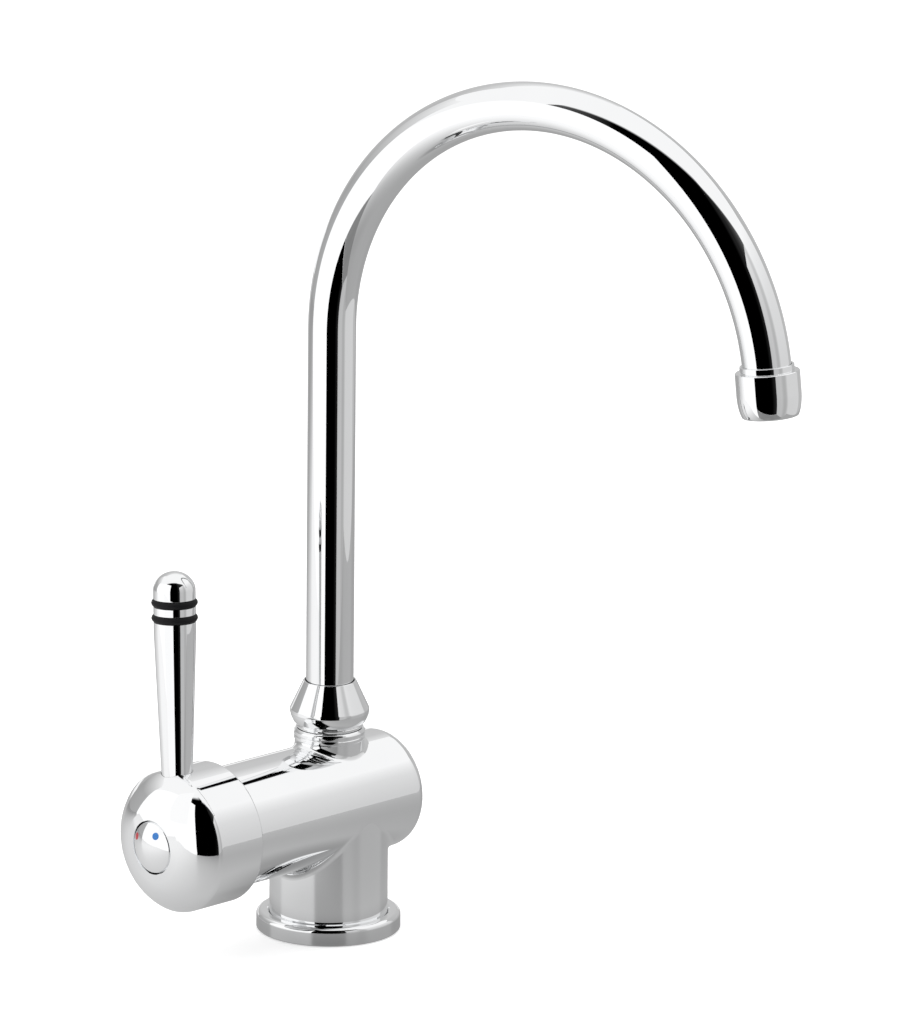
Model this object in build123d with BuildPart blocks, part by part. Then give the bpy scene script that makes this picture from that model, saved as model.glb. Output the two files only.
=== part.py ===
from build123d import *
import os
from math import acos, asin, cos, radians, sin, sqrt, tan

# Single-lever kitchen mixer tap with a swan-neck spout and a side lever.
# Millimetres, +Z up. The origin is the centre of the base's underside, on the deck.
# The cartridge barrel lies along X with its handle towards -X.
# The spout swivels about Z and points towards -Y, turned a little towards +X.

# Clearances
running_clearance = 0.05        # radial, shaft in its bore
sliding_clearance = 0.1         # plastic slide in its guide, per side
seating_clearance = 0.1         # radial, fixed piece in its seat
face_clearance = 0.05           # between flat faces that slide on each other
overrun = 1.0                   # cutters pass this far beyond a face

# Spout tube
spout_turn = 10.7               # degrees from -Y towards +X, as it stands
tube_radius = 9.0
tube_wall = 1.2
arch_radius = 96.6
arch_height = 233.4             # arch's centre above the deck
arch_angle = 173.7
tube_tail = 1.5                 # straight end after the arch

# Body casting
pedestal_radius = 22.5
barrel_radius = 22.9
barrel_height = 49.8            # barrel axis above the deck
barrel_rear_reach = 30.7        # barrel's rear end behind the spout axis
barrel_front_reach = 58.6       # barrel's front end ahead of the spout axis
barrel_rear_round = 6.0
barrel_front_round = 0.8
barrel_mouth_wall = 3.4         # round the thread at the barrel's front
junction_round = 4.0            # blend between pedestal and barrel
body_seat_height = 2.0          # pedestal's lower face on the base ring's ledge
register_step = 2.8             # plug on the casting's foot, inside the pedestal's side
foot_wall = 2.8                 # round the hollow under the pedestal
foot_hollow_depth = 20.0
foot_boss_wall = 2.4            # round the inlets and the stud inside that hollow

# Neck on top of the barrel, outwards from the tube and upwards from the barrel
flange_step = 1.8               # spigot's flange beyond the tube
flange_play = 0.6               # radial, flange in the collar
neck_wall = 1.8                 # between the spigot's bore and the thread
neck_step = 1.9                 # neck beyond its thread
neck_standing = 5.5             # neck's rim above the barrel
neck_edge_round = 0.5
neck_blend_round = 2.6
neck_thread_length = 9.8
spigot_bore_depth = 24.0        # from the top of the thread

# Waterways
stud_hole_radius = 3.4
stud_hole_depth = 18.0
inlet_thread_radius = 4.5
inlet_thread_depth = 14.0
inlet_passage_radius = 3.0
inlet_offset = 9.5              # each inlet to the side of the barrel's axis
inlet_advance = 7.0             # inlets ahead of the spout axis
port_radius = 2.75
inlet_port_spread = 7.0         # each inlet port to the side of the cartridge axis
inlet_port_rise = 4.5
outlet_port_drop = 7.5
outlet_passage_radius = 4.5

# Base
base_ring_ledge = 4.9           # beyond the pedestal
base_ring_height = 7.0
base_ring_round = 2.0
base_ring_inner_chamfer = 0.8
gasket_inner_margin = 0.7       # beyond the pedestal
gasket_outer_margin = 1.8       # inside the ring's edge
gasket_thickness = 2.2

# Cartridge, its walls outwards and its lengths along the barrel
chamber_step = 2.0              # chamber inside its threaded mouth
cartridge_base_thickness = 5.0
seal_width = 1.45
seal_thickness = 2.0
fixed_disc_thickness = 3.0
moving_disc_margin = 3.0        # moving disc inside the fixed disc's edge
moving_disc_thickness = 3.0
moving_disc_drop = 2.4          # moving disc's centre below the cartridge axis when closed
mixing_pocket_radius = 7.0
mixing_pocket_depth = 1.5
mixing_pocket_drop = 2.5        # pocket's centre below the moving disc's centre
carrier_thickness = 3.5
carrier_block_width = 11.0
carrier_block_length = 3.6
housing_wall = 3.35
housing_neck_step = 1.9         # housing's neck inside its side
housing_lip = 2.45              # in front of the rotor's shoulder
rotor_lead = 3.6                # rotor's shoulder in front of the lever's pivot
rotor_boss_step = 2.6           # boss inside the rotor's side
rotor_boss_length = 4.0
stem_swing_clearance = 0.4      # above and below the tilted stem in the rotor's slot
nut_length = 6.2
nut_notch_width = 4.0
nut_notch_depth = 2.0
nut_notch_count = 4

# Ball-shaped cover over the nut, about the lever's pivot
dome_step = 1.1                 # ball inside the barrel's side
dome_wall = 1.3
dome_standing = 5.8             # in front of the barrel
dome_spigot_wall = 2.2
dome_spigot_length = 2.4

# Stem, from the lever's pivot
pivot_setback = 7.2             # pivot behind the barrel's front
lift_angle = 24.0
pivot_pin_radius = 1.5
pivot_pin_setback = 2.0         # each end inside the rotor's side
stem_width = 8.0
stem_heel = 4.0                 # square part behind the pivot
stem_arm_radius = 3.0
stem_arm_length = 8.4
stem_waist_radius = 2.2
ball_radius = 3.5
ball_reach = 12.0               # ball centre behind the pivot
ball_standing = 0.85            # ball centre in front of the carrier's plate
stem_thread_depth = 12.0

# Handle cap, from its open rear
cap_rear_gap = 0.8              # between the barrel and the cap
cap_wall = 2.6
cap_dome_gap = 2.5              # between the cap's skirt and the dome
cap_side_length = 20.6          # straight side, up to the small corner round
cap_corner_radius = 4.5
cap_edge_turn = 57.5            # slope of the front's flank where it meets the corner
cap_flank_radius = 19.5
cap_crown_radius = 66.0         # ball shape of the face's middle
cap_face_web = 1.6              # between the button's seat and the hollow
cap_rear_round = 1.2
cap_boss_radius = 8.0
cap_boss_gap = 1.6              # between the dome's opening and the boss

screw_radius = 2.0
screw_head_radius = 3.9
screw_head_length = 2.6
screw_hole_clearance = 0.3      # radial, in the cap
screw_head_play = 0.8           # between the screw's head and the button's plug
screw_web = 5.6                 # cap's metal between the screw's head and the stem
screw_length = 13.0
screw_socket_radius = 1.3
screw_socket_depth = 1.5

button_radius = 10.2
button_seat_depth = 3.4         # below the middle of the cap's face
button_side_length = 2.8
button_crown = 1.1
button_plug_play = 0.4          # radial, in the screw's recess
button_plug_length = 1.4
button_edge_round = 0.35
dot_radius = 1.4
dot_sinking = 0.1               # dot's floor below the button's edge
red_dot_side = 7.4              # towards +Y from the barrel's axis
red_dot_rise = 3.2
blue_dot_side = -3.1
blue_dot_rise = 5.5

# Lever, along its own axis from the cap's side
lever_lean = 1.65               # degrees, back towards the spout
lever_turn = 3.15               # degrees about the barrel's axis, towards +Y, as photographed
lever_length = 75.6
lever_setback = 2.5             # axis behind the cap's corner
lever_base_radius = 5.9
lever_waist_radius = 6.95
lever_waist_at = 27.5
lever_shoulder_radius = 7.9
lever_head_length = 23.1        # straight head with its tip
lever_tip_length = 7.0
lever_seat_depth = 3.0
lever_stud_radius = 2.95
lever_stud_length = 7.0
lever_boss_wall = 2.35          # round the lever's seat, inside the cap
lever_ring_section = 1.45
lever_groove_depth = 2.2
lever_ring_margin = 4.7         # upper ring below the rounded tip
lever_ring_spacing = 5.8

# Spigot and collar, upwards from the neck
swivel_bearing_thickness = 1.55
swivel_washer_thickness = 1.0
swivel_play = 0.2               # between the flange and its washer
flange_thickness = 2.2
tube_seat_height = 0.8          # tube's foot above the flange's underside
spigot_wall = 1.8               # inside the tube
spigot_end_gap = 4.0            # under the spigot
sleeve_into_tube = 8.0
spout_ring_section = 0.95
spout_ring_groove_width = 2.1
spout_ring_margin = 4.0         # lower ring above the spigot's foot
spout_ring_spacing = 8.0

trim_ring_inset = 0.45          # inside the neck's side
trim_ring_thickness = 0.7
collar_gap = 0.2                # above the trim ring
collar_foot_inset = 0.65         # inside the neck's side
collar_foot_length = 5.5
collar_waist_length = 1.9
collar_wall = 3.6               # at the waist
collar_lip_length = 4.2
collar_lip_wall = 0.95           # round the tube, at the top

# Outlet, along its own axis from the arch's end
outlet_top = -3.0
outlet_straight = 7.0
outlet_foot = 15.3
outlet_wall = 1.15
outlet_foot_step = 1.5          # foot inside the housing's side
outlet_shoulder_length = 1.75   # cone at the top
outlet_shoulder_wall = 0.45     # round the tube, at the cone's top
outlet_shoulder_round = 0.35
outlet_sleeve_cover = 2.0       # over the sleeve's end
outlet_lip = 1.3
outlet_mouth_lip = 0.6          # mouth inside the insert's side
sleeve_wall = 1.6
outlet_washer_thickness = 1.6
outlet_washer_inner_radius = 6.5
insert_inset = 0.7              # insert inside the sleeve's side
insert_wall = 1.2
insert_flange = 1.5
screen_thickness = 0.8
screen_hole_radius = 0.7
screen_ring_spacing = 2.3
screen_ring_count = 3
screen_holes_per_ring = 6        # in the first ring, and as many more in each next one

# Radii that follow
register_radius = pedestal_radius - register_step
base_ring_radius = pedestal_radius + base_ring_ledge
gasket_inner_radius = pedestal_radius + gasket_inner_margin
gasket_outer_radius = base_ring_radius - gasket_outer_margin

flange_radius = tube_radius + flange_step
collar_cavity_radius = flange_radius + flange_play
neck_thread_radius = collar_cavity_radius - seating_clearance
neck_radius = neck_thread_radius + neck_step
spigot_bore_radius = neck_thread_radius - neck_wall
spigot_radius = spigot_bore_radius - sliding_clearance
spigot_water_radius = tube_radius - tube_wall - spigot_wall
spout_ring_centre = spigot_bore_radius - spout_ring_section - running_clearance
spout_ring_groove_floor = spout_ring_centre - spout_ring_section - running_clearance
trim_ring_radius = neck_radius - trim_ring_inset
collar_foot_radius = neck_radius - collar_foot_inset
collar_waist_radius = collar_cavity_radius + collar_wall
collar_top_radius = tube_radius + collar_lip_wall

sleeve_radius = tube_radius + sleeve_wall
outlet_radius = sleeve_radius + seating_clearance + outlet_wall
outlet_foot_radius = outlet_radius - outlet_foot_step
insert_radius = sleeve_radius - insert_inset
outlet_mouth_radius = insert_radius - outlet_mouth_lip

thread_bore_radius = barrel_radius - barrel_mouth_wall
chamber_radius = thread_bore_radius - chamber_step
housing_radius = chamber_radius - seating_clearance
housing_bore_radius = housing_radius - housing_wall
housing_neck_radius = housing_radius - housing_neck_step
rotor_radius = housing_bore_radius - running_clearance
rotor_boss_radius = rotor_radius - rotor_boss_step
disc_radius = rotor_radius
moving_disc_radius = disc_radius - moving_disc_margin
socket_radius = ball_radius + sliding_clearance

dome_radius = barrel_radius - dome_step
cap_bore_radius = dome_radius + cap_dome_gap
cap_radius = cap_bore_radius + cap_wall
cap_screw_hole_radius = screw_radius + screw_hole_clearance
cap_screw_head_radius = screw_head_radius + screw_hole_clearance
stem_thread_radius = screw_radius + seating_clearance
button_plug_radius = cap_screw_head_radius - button_plug_play

lever_boss_radius = lever_base_radius + lever_boss_wall
lever_groove_floor = lever_shoulder_radius - lever_groove_depth
lever_ring_centre = lever_groove_floor + lever_ring_section + running_clearance

# Heights that follow, from the barrel up to the spout
neck_top_height = barrel_height + barrel_radius + neck_standing
neck_thread_top = neck_top_height + neck_thread_length
spigot_bore_floor = neck_thread_top - spigot_bore_depth
inlet_port_height = barrel_height + inlet_port_rise
outlet_port_height = barrel_height - outlet_port_drop
flange_low = neck_thread_top + swivel_bearing_thickness + face_clearance
tube_foot = flange_low + tube_seat_height
spigot_foot = spigot_bore_floor + spigot_end_gap
spout_ring_low = spigot_foot + spout_ring_margin
spout_ring_high = spout_ring_low + spout_ring_spacing
collar_foot = neck_top_height + trim_ring_thickness + collar_gap
collar_waist_low = collar_foot + collar_foot_length
collar_waist_high = collar_waist_low + collar_waist_length
collar_shoulder = flange_low + flange_thickness + swivel_play + swivel_washer_thickness
collar_top = collar_shoulder + collar_lip_length

# Distances along the barrel that follow, from its front back to the chamber's floor
pivot_reach = barrel_front_reach - pivot_setback
ball_place = pivot_reach - ball_reach
carrier_front = ball_place - ball_standing
carrier_block_front = carrier_front + carrier_block_length
moving_disc_front = carrier_front - carrier_thickness
moving_disc_rear = moving_disc_front - moving_disc_thickness
fixed_disc_front = moving_disc_rear - face_clearance
fixed_disc_rear = fixed_disc_front - fixed_disc_thickness
chamber_floor = fixed_disc_rear - cartridge_base_thickness
guide_front = carrier_block_front + sliding_clearance
rotor_rear = carrier_front + face_clearance
rotor_front = pivot_reach + rotor_lead
rotor_boss_front = rotor_front + rotor_boss_length
housing_inner_front = rotor_front + face_clearance
housing_front = housing_inner_front + housing_lip
cartridge_nut_front = barrel_front_reach - dome_spigot_length
housing_shoulder = cartridge_nut_front - nut_length

# and forward to the button
dome_front = barrel_front_reach + dome_standing
cap_rear = barrel_front_reach + cap_rear_gap
cap_boss_rear = dome_front + cap_boss_gap
cap_corner_start = cap_rear + cap_side_length
flank_setback = cap_flank_radius - cap_corner_radius
flank_middle = cap_corner_start - flank_setback * cos(radians(cap_edge_turn))
flank_middle_radius = cap_radius - cap_corner_radius - flank_setback * sin(radians(cap_edge_turn))
crown_setback = cap_crown_radius - cap_flank_radius
crown_turn = asin(flank_middle_radius / crown_setback)
crown_middle = flank_middle - crown_setback * cos(crown_turn)
cap_apex = crown_middle + cap_crown_radius
cap_button_seat = cap_apex - button_seat_depth
face_inside = cap_button_seat - cap_face_web
cap_screw_seat = cap_button_seat - button_plug_length - screw_head_play - screw_head_length
stem_front = cap_screw_seat - screw_web
button_edge = cap_button_seat + button_side_length
button_apex = button_edge + button_crown
dot_floor = button_edge - dot_sinking

# Distances along the lever and the outlet that follow
lever_shoulder_at = lever_length - lever_head_length
lever_ring_high = lever_length - lever_tip_length - lever_ring_margin
lever_ring_low = lever_ring_high - lever_ring_spacing
sleeve_rear = outlet_top + outlet_sleeve_cover
insert_rear = tube_tail + outlet_washer_thickness
insert_front = outlet_foot - outlet_lip

# Moving pieces' room
disc_travel = ball_reach * sin(radians(lift_angle))
pivot_pin_length = 2 * (rotor_radius - pivot_pin_setback)
rotor_slot_width = stem_width + 2 * sliding_clearance
rotor_slot_height = 2 * (
    (rotor_boss_front - pivot_reach) * tan(radians(lift_angle))
    + stem_width / 2 / cos(radians(lift_angle))
    + stem_swing_clearance
)

# Planes and axes
spout_direction = Vector(sin(radians(spout_turn)), -cos(radians(spout_turn)), 0)
spout_normal = Vector(spout_direction.Y, -spout_direction.X, 0)
spout_plane = Plane(origin=(0, 0, 0), x_dir=spout_direction, z_dir=spout_normal)

barrel_origin = Vector(0, 0, barrel_height)
barrel_section = Plane(origin=barrel_origin, x_dir=(-1, 0, 0), z_dir=(0, 1, 0))
barrel_axis = Axis(barrel_origin, (-1, 0, 0))


def across_barrel(reach: float) -> Plane:
    """Plane square to the barrel at a distance ahead of the spout axis, x along -Y and y up."""
    return Plane(origin=(-reach, 0, barrel_height), x_dir=(0, -1, 0), z_dir=(-1, 0, 0))


arch_turn = radians(arch_angle)
outlet_across = arch_radius * (1 - cos(arch_turn))
outlet_up = arch_height + arch_radius * sin(arch_turn)
outlet_origin = spout_direction * outlet_across + Vector(0, 0, outlet_up)
outlet_direction = spout_direction * sin(arch_turn) + Vector(0, 0, cos(arch_turn))
outlet_section = Plane(origin=outlet_origin, x_dir=outlet_direction, z_dir=spout_normal)
outlet_axis = Axis(outlet_origin, outlet_direction)

# the lever stands just behind the end of the cap's straight side
lever_outward = Vector(0, sin(radians(lever_turn)), cos(radians(lever_turn)))
lever_side = Vector(0, lever_outward.Z, -lever_outward.Y)
lever_direction = lever_outward * cos(radians(lever_lean)) + Vector(sin(radians(lever_lean)), 0, 0)
lever_origin = Vector(lever_setback - cap_corner_start, 0, barrel_height) + lever_outward * cap_radius
lever_section = Plane(origin=lever_origin, x_dir=lever_direction, z_dir=lever_side)
lever_axis = Axis(lever_origin, lever_direction)


def along_lever(height: float) -> Plane:
    """Plane square to the lever at a height above the cap's side."""
    return Plane(origin=lever_origin + lever_direction * height, x_dir=lever_side, z_dir=lever_direction)


inlet_places = [(-inlet_advance, side * inlet_offset) for side in (-1, 1)]

# Body casting
with BuildPart() as body_casting:
    with BuildSketch(Plane.XY.offset(body_seat_height)):
        Circle(pedestal_radius)
    extrude(amount=barrel_height - body_seat_height)
    with BuildSketch(Plane.YZ.offset(barrel_rear_reach)):
        with Locations((0, barrel_height)):
            Circle(barrel_radius)
    extrude(amount=-(barrel_rear_reach + barrel_front_reach))
    rear_rim = body_casting.edges().filter_by(GeomType.CIRCLE).sort_by(Axis.X)[-1]
    fillet(rear_rim, radius=barrel_rear_round)
    front_rim = body_casting.edges().filter_by(GeomType.CIRCLE).sort_by(Axis.X)[0]
    fillet(front_rim, radius=barrel_front_round)
    junction = body_casting.edges().filter_by(GeomType.BSPLINE)
    fillet(junction, radius=junction_round)

    # neck on top, with its blend, and the thread for the spout's collar
    with BuildSketch(Plane.XY.offset(barrel_height)):
        Circle(neck_radius)
    extrude(amount=neck_top_height - barrel_height)
    neck_height_range = (barrel_height + barrel_radius / 2, neck_top_height)
    neck_edges = body_casting.edges().filter_by_position(Axis.Z, *neck_height_range)
    neck_root = neck_edges.filter_by(GeomType.BSPLINE)
    fillet(neck_root, radius=neck_blend_round)
    neck_rim = body_casting.edges().filter_by(GeomType.CIRCLE).sort_by(Axis.Z)[-1]
    fillet(neck_rim, radius=neck_edge_round)
    with BuildSketch(Plane.XY.offset(barrel_height)):
        Circle(neck_thread_radius)
    extrude(amount=neck_thread_top - barrel_height)
    with BuildSketch(Plane.XY):
        Circle(register_radius)
    extrude(amount=body_seat_height)

    # cartridge chamber and its threaded mouth
    with BuildSketch(across_barrel(chamber_floor)):
        Circle(chamber_radius)
    extrude(amount=barrel_front_reach - chamber_floor + overrun, mode=Mode.SUBTRACT)
    with BuildSketch(across_barrel(housing_shoulder)):
        Circle(thread_bore_radius)
    extrude(amount=barrel_front_reach - housing_shoulder + overrun, mode=Mode.SUBTRACT)

    # hollow underside, with bosses left round the inlets and the stud
    with BuildSketch(Plane.XY.offset(-overrun)):
        Circle(register_radius - foot_wall)
        with Locations(*inlet_places):
            Circle(inlet_thread_radius + foot_boss_wall, mode=Mode.SUBTRACT)
        Circle(stud_hole_radius + foot_boss_wall, mode=Mode.SUBTRACT)
    extrude(amount=foot_hollow_depth + overrun, mode=Mode.SUBTRACT)

    # spigot bore and the outlet passage below it
    with BuildSketch(Plane.XY.offset(spigot_bore_floor)):
        Circle(spigot_bore_radius)
    extrude(amount=neck_thread_top - spigot_bore_floor + overrun, mode=Mode.SUBTRACT)
    with BuildSketch(Plane.XY.offset(outlet_port_height)):
        Circle(outlet_passage_radius)
    extrude(amount=spigot_bore_floor - outlet_port_height + overrun, mode=Mode.SUBTRACT)
    with BuildSketch(across_barrel(0)):
        with Locations((0, -outlet_port_drop)):
            Circle(port_radius)
    extrude(amount=chamber_floor + overrun, mode=Mode.SUBTRACT)

    # hot and cold inlets, up from the foot and along to the chamber
    with BuildSketch(Plane.XY.offset(-overrun)):
        with Locations(*inlet_places):
            Circle(inlet_thread_radius)
    extrude(amount=inlet_thread_depth + overrun, mode=Mode.SUBTRACT)
    with BuildSketch(Plane.XY):
        with Locations(*inlet_places):
            Circle(inlet_passage_radius)
    extrude(amount=inlet_port_height, mode=Mode.SUBTRACT)
    with BuildSketch(across_barrel(inlet_advance)):
        with Locations((-inlet_port_spread, inlet_port_rise), (inlet_port_spread, inlet_port_rise)):
            Circle(port_radius)
    extrude(amount=chamber_floor - inlet_advance + overrun, mode=Mode.SUBTRACT)

    # threaded hole for the clamping stud
    with BuildSketch(Plane.XY.offset(-overrun)):
        Circle(stud_hole_radius)
    extrude(amount=stud_hole_depth + overrun, mode=Mode.SUBTRACT)

# Base
with BuildPart() as base_ring:
    with BuildSketch(Plane.XZ):
        with BuildLine():
            Polyline(
                (register_radius + seating_clearance, 0),
                (base_ring_radius, 0),
                (base_ring_radius, base_ring_height),
                (pedestal_radius + seating_clearance, base_ring_height),
                (pedestal_radius + seating_clearance, body_seat_height),
                (register_radius + seating_clearance, body_seat_height),
                close=True,
            )
        make_face()
    revolve(axis=Axis.Z)
    top_rims = base_ring.edges().filter_by(GeomType.CIRCLE).filter_by_position(
        Axis.Z, base_ring_height, base_ring_height
    ).sort_by(SortBy.RADIUS)
    fillet(top_rims[-1], radius=base_ring_round)
    chamfer(top_rims[0], length=base_ring_inner_chamfer)
    with BuildSketch(Plane.XY):
        Circle(gasket_outer_radius)
        Circle(gasket_inner_radius, mode=Mode.SUBTRACT)
    extrude(amount=gasket_thickness, mode=Mode.SUBTRACT)

with BuildPart() as base_gasket:
    with BuildSketch(Plane.XY):
        Circle(gasket_outer_radius)
        Circle(gasket_inner_radius, mode=Mode.SUBTRACT)
    extrude(amount=gasket_thickness)

# Spout collar on the neck
with BuildPart() as neck_trim_ring:
    with BuildSketch(Plane.XY.offset(neck_top_height)):
        Circle(trim_ring_radius)
        Circle(neck_thread_radius + seating_clearance, mode=Mode.SUBTRACT)
    extrude(amount=trim_ring_thickness)
    trim_rims = neck_trim_ring.edges().filter_by(GeomType.CIRCLE).group_by(SortBy.RADIUS)[-1]
    fillet(trim_rims, radius=trim_ring_thickness / 3)

with BuildPart() as spout_collar:
    with BuildSketch(Plane.XZ):
        with BuildLine():
            Polyline(
                (collar_cavity_radius, collar_foot),
                (collar_foot_radius, collar_foot),
                (collar_waist_radius, collar_waist_low),
                (collar_waist_radius, collar_waist_high),
                (collar_top_radius, collar_top),
                (tube_radius + seating_clearance, collar_top),
                (tube_radius + seating_clearance, collar_shoulder),
                (collar_cavity_radius, collar_shoulder),
                close=True,
            )
        make_face()
    revolve(axis=Axis.Z)
    waist_rims = spout_collar.edges().filter_by(GeomType.CIRCLE).group_by(SortBy.RADIUS)[-1]
    fillet(waist_rims.sort_by(Axis.Z)[0], radius=(collar_waist_high - collar_waist_low) * 2 / 3)

with BuildPart() as swivel_bearing:
    with BuildSketch(Plane.XY.offset(neck_thread_top)):
        Circle(flange_radius)
        Circle(spigot_bore_radius, mode=Mode.SUBTRACT)
    extrude(amount=swivel_bearing_thickness)

with BuildPart() as swivel_washer:
    with BuildSketch(Plane.XY.offset(collar_shoulder)):
        Circle(flange_radius)
        Circle(tube_radius + sliding_clearance, mode=Mode.SUBTRACT)
    extrude(amount=-swivel_washer_thickness)

# Spout
with BuildPart() as spout_tube:
    with BuildLine(spout_plane) as tube_path:
        riser = Line((0, tube_foot), (0, arch_height))
        arch = JernArc(start=riser @ 1, tangent=riser % 1, radius=arch_radius, arc_size=-arch_angle)
        Line(arch @ 1, arch @ 1 + arch % 1 * tube_tail)
    with BuildSketch(Plane.XY.offset(tube_foot)):
        Circle(tube_radius)
        Circle(tube_radius - tube_wall, mode=Mode.SUBTRACT)
    sweep(path=tube_path.line)

with BuildPart() as spout_spigot:
    with BuildSketch(Plane.XZ):
        with BuildLine():
            Polyline(
                (spigot_water_radius, spigot_foot),
                (spigot_radius, spigot_foot),
                (spigot_radius, flange_low),
                (flange_radius, flange_low),
                (flange_radius, flange_low + flange_thickness),
                (tube_radius + seating_clearance, flange_low + flange_thickness),
                (tube_radius + seating_clearance, tube_foot),
                (tube_radius - tube_wall, tube_foot),
                (tube_radius - tube_wall, tube_foot + sleeve_into_tube),
                (spigot_water_radius, tube_foot + sleeve_into_tube),
                close=True,
            )
        make_face()
    revolve(axis=Axis.Z)
    for ring_height in (spout_ring_low, spout_ring_high):
        with BuildSketch(Plane.XY.offset(ring_height - spout_ring_groove_width / 2)):
            Circle(spigot_radius + overrun)
            Circle(spout_ring_groove_floor, mode=Mode.SUBTRACT)
        extrude(amount=spout_ring_groove_width, mode=Mode.SUBTRACT)


def ring_seal(plane: Plane, centre_radius: float, section: float) -> Part:
    """Rubber ring of round section about a plane's z axis."""
    with BuildPart(plane) as ring:
        Torus(centre_radius, section)
    return ring.part


with BuildPart() as spout_o_ring_lower:
    add(ring_seal(Plane.XY.offset(spout_ring_low), spout_ring_centre, spout_ring_section))
with BuildPart() as spout_o_ring_upper:
    add(ring_seal(Plane.XY.offset(spout_ring_high), spout_ring_centre, spout_ring_section))

# Outlet at the spout's end
with BuildPart() as outlet_sleeve:
    with BuildSketch(outlet_section):
        with BuildLine():
            Polyline(
                (sleeve_rear, tube_radius),
                (tube_tail, tube_radius),
                (tube_tail, sleeve_radius),
                (sleeve_rear, sleeve_radius),
                close=True,
            )
        make_face()
    revolve(axis=outlet_axis)

with BuildPart() as aerator_housing:
    with BuildSketch(outlet_section):
        with BuildLine():
            Polyline(
                (outlet_top, tube_radius + seating_clearance),
                (outlet_top, tube_radius + outlet_shoulder_wall),
                (outlet_top + outlet_shoulder_length, outlet_radius),
                (outlet_straight, outlet_radius),
            )
            Spline(
                (outlet_straight, outlet_radius),
                (outlet_foot, outlet_foot_radius),
                tangents=((1, 0), (1, -1)),
            )
            Polyline(
                (outlet_foot, outlet_foot_radius),
                (outlet_foot, outlet_mouth_radius),
                (insert_front, outlet_mouth_radius),
                (insert_front, insert_radius + seating_clearance),
                (insert_rear, insert_radius + seating_clearance),
                (insert_rear, sleeve_radius + seating_clearance),
                (sleeve_rear, sleeve_radius + seating_clearance),
                (sleeve_rear, tube_radius + seating_clearance),
                (outlet_top, tube_radius + seating_clearance),
            )
        make_face()
    revolve(axis=outlet_axis)
    side_rims = aerator_housing.edges().filter_by(GeomType.CIRCLE).group_by(SortBy.RADIUS)[-1]
    fillet(side_rims.sort_by(outlet_axis)[0], radius=outlet_shoulder_round)

with BuildPart() as outlet_washer:
    with BuildSketch(outlet_section):
        with BuildLine():
            Polyline(
                (tube_tail, outlet_washer_inner_radius),
                (tube_tail, sleeve_radius),
                (insert_rear, sleeve_radius),
                (insert_rear, outlet_washer_inner_radius),
                close=True,
            )
        make_face()
    revolve(axis=outlet_axis)

with BuildPart() as aerator_insert:
    with BuildSketch(outlet_section):
        with BuildLine():
            Polyline(
                (insert_rear, outlet_washer_inner_radius),
                (insert_rear, insert_radius),
                (insert_front, insert_radius),
                (insert_front, insert_radius - insert_wall),
                (insert_rear + insert_flange, insert_radius - insert_wall),
                (insert_rear + insert_flange, outlet_washer_inner_radius),
                close=True,
            )
        make_face()
    revolve(axis=outlet_axis)

with BuildPart() as aerator_screen:
    screen_plane = Plane(
        origin=outlet_origin + outlet_direction * (insert_front - screen_thickness),
        x_dir=spout_normal,
        z_dir=outlet_direction,
    )
    with BuildSketch(screen_plane):
        Circle(insert_radius - insert_wall)
        Circle(screen_hole_radius, mode=Mode.SUBTRACT)
        for ring_number in range(1, screen_ring_count + 1):
            with PolarLocations(screen_ring_spacing * ring_number, screen_holes_per_ring * ring_number):
                Circle(screen_hole_radius, mode=Mode.SUBTRACT)
    extrude(amount=screen_thickness)

# Cartridge, fixed pieces
port_places = [
    (-inlet_port_spread, inlet_port_rise),
    (inlet_port_spread, inlet_port_rise),
    (0, -outlet_port_drop),
]

with BuildPart() as cartridge_base:
    with BuildSketch(across_barrel(chamber_floor)):
        Circle(housing_radius)
        with Locations(*port_places):
            Circle(port_radius, mode=Mode.SUBTRACT)
    extrude(amount=cartridge_base_thickness)
    with BuildSketch(across_barrel(chamber_floor)):
        with Locations(*port_places):
            Circle(port_radius + seal_width)
    extrude(amount=seal_thickness, mode=Mode.SUBTRACT)


def port_seal(place: tuple[float, float]) -> Part:
    """Rubber ring round one port, between the chamber's floor and the cartridge base."""
    with BuildPart() as seal:
        with BuildSketch(across_barrel(chamber_floor)):
            with Locations(place):
                Circle(port_radius + seal_width)
                Circle(port_radius, mode=Mode.SUBTRACT)
        extrude(amount=seal_thickness)
    return seal.part


with BuildPart() as hot_port_seal:
    add(port_seal(port_places[0]))
with BuildPart() as cold_port_seal:
    add(port_seal(port_places[1]))
with BuildPart() as outlet_port_seal:
    add(port_seal(port_places[2]))

with BuildPart() as fixed_disc:
    with BuildSketch(across_barrel(fixed_disc_rear)):
        Circle(disc_radius)
        with Locations(*port_places):
            Circle(port_radius, mode=Mode.SUBTRACT)
    extrude(amount=fixed_disc_thickness)

with BuildPart() as cartridge_housing:
    with BuildSketch(barrel_section):
        with BuildLine():
            Polyline(
                (fixed_disc_rear, housing_bore_radius),
                (fixed_disc_rear, housing_radius),
                (housing_shoulder, housing_radius),
                (housing_shoulder, housing_neck_radius),
                (housing_front, housing_neck_radius),
                (housing_front, rotor_boss_radius + running_clearance),
                (housing_inner_front, rotor_boss_radius + running_clearance),
                (housing_inner_front, housing_bore_radius),
                close=True,
            )
        make_face()
    revolve(axis=barrel_axis)

with BuildPart() as cartridge_nut:
    with BuildSketch(across_barrel(housing_shoulder)):
        Circle(thread_bore_radius - seating_clearance)
        Circle(housing_neck_radius + seating_clearance, mode=Mode.SUBTRACT)
    extrude(amount=cartridge_nut_front - housing_shoulder)
    with BuildSketch(across_barrel(cartridge_nut_front - nut_notch_depth)):
        with PolarLocations(housing_neck_radius, nut_notch_count):
            Rectangle(nut_notch_width, nut_notch_width)
    extrude(amount=nut_notch_depth + overrun, mode=Mode.SUBTRACT)

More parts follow.
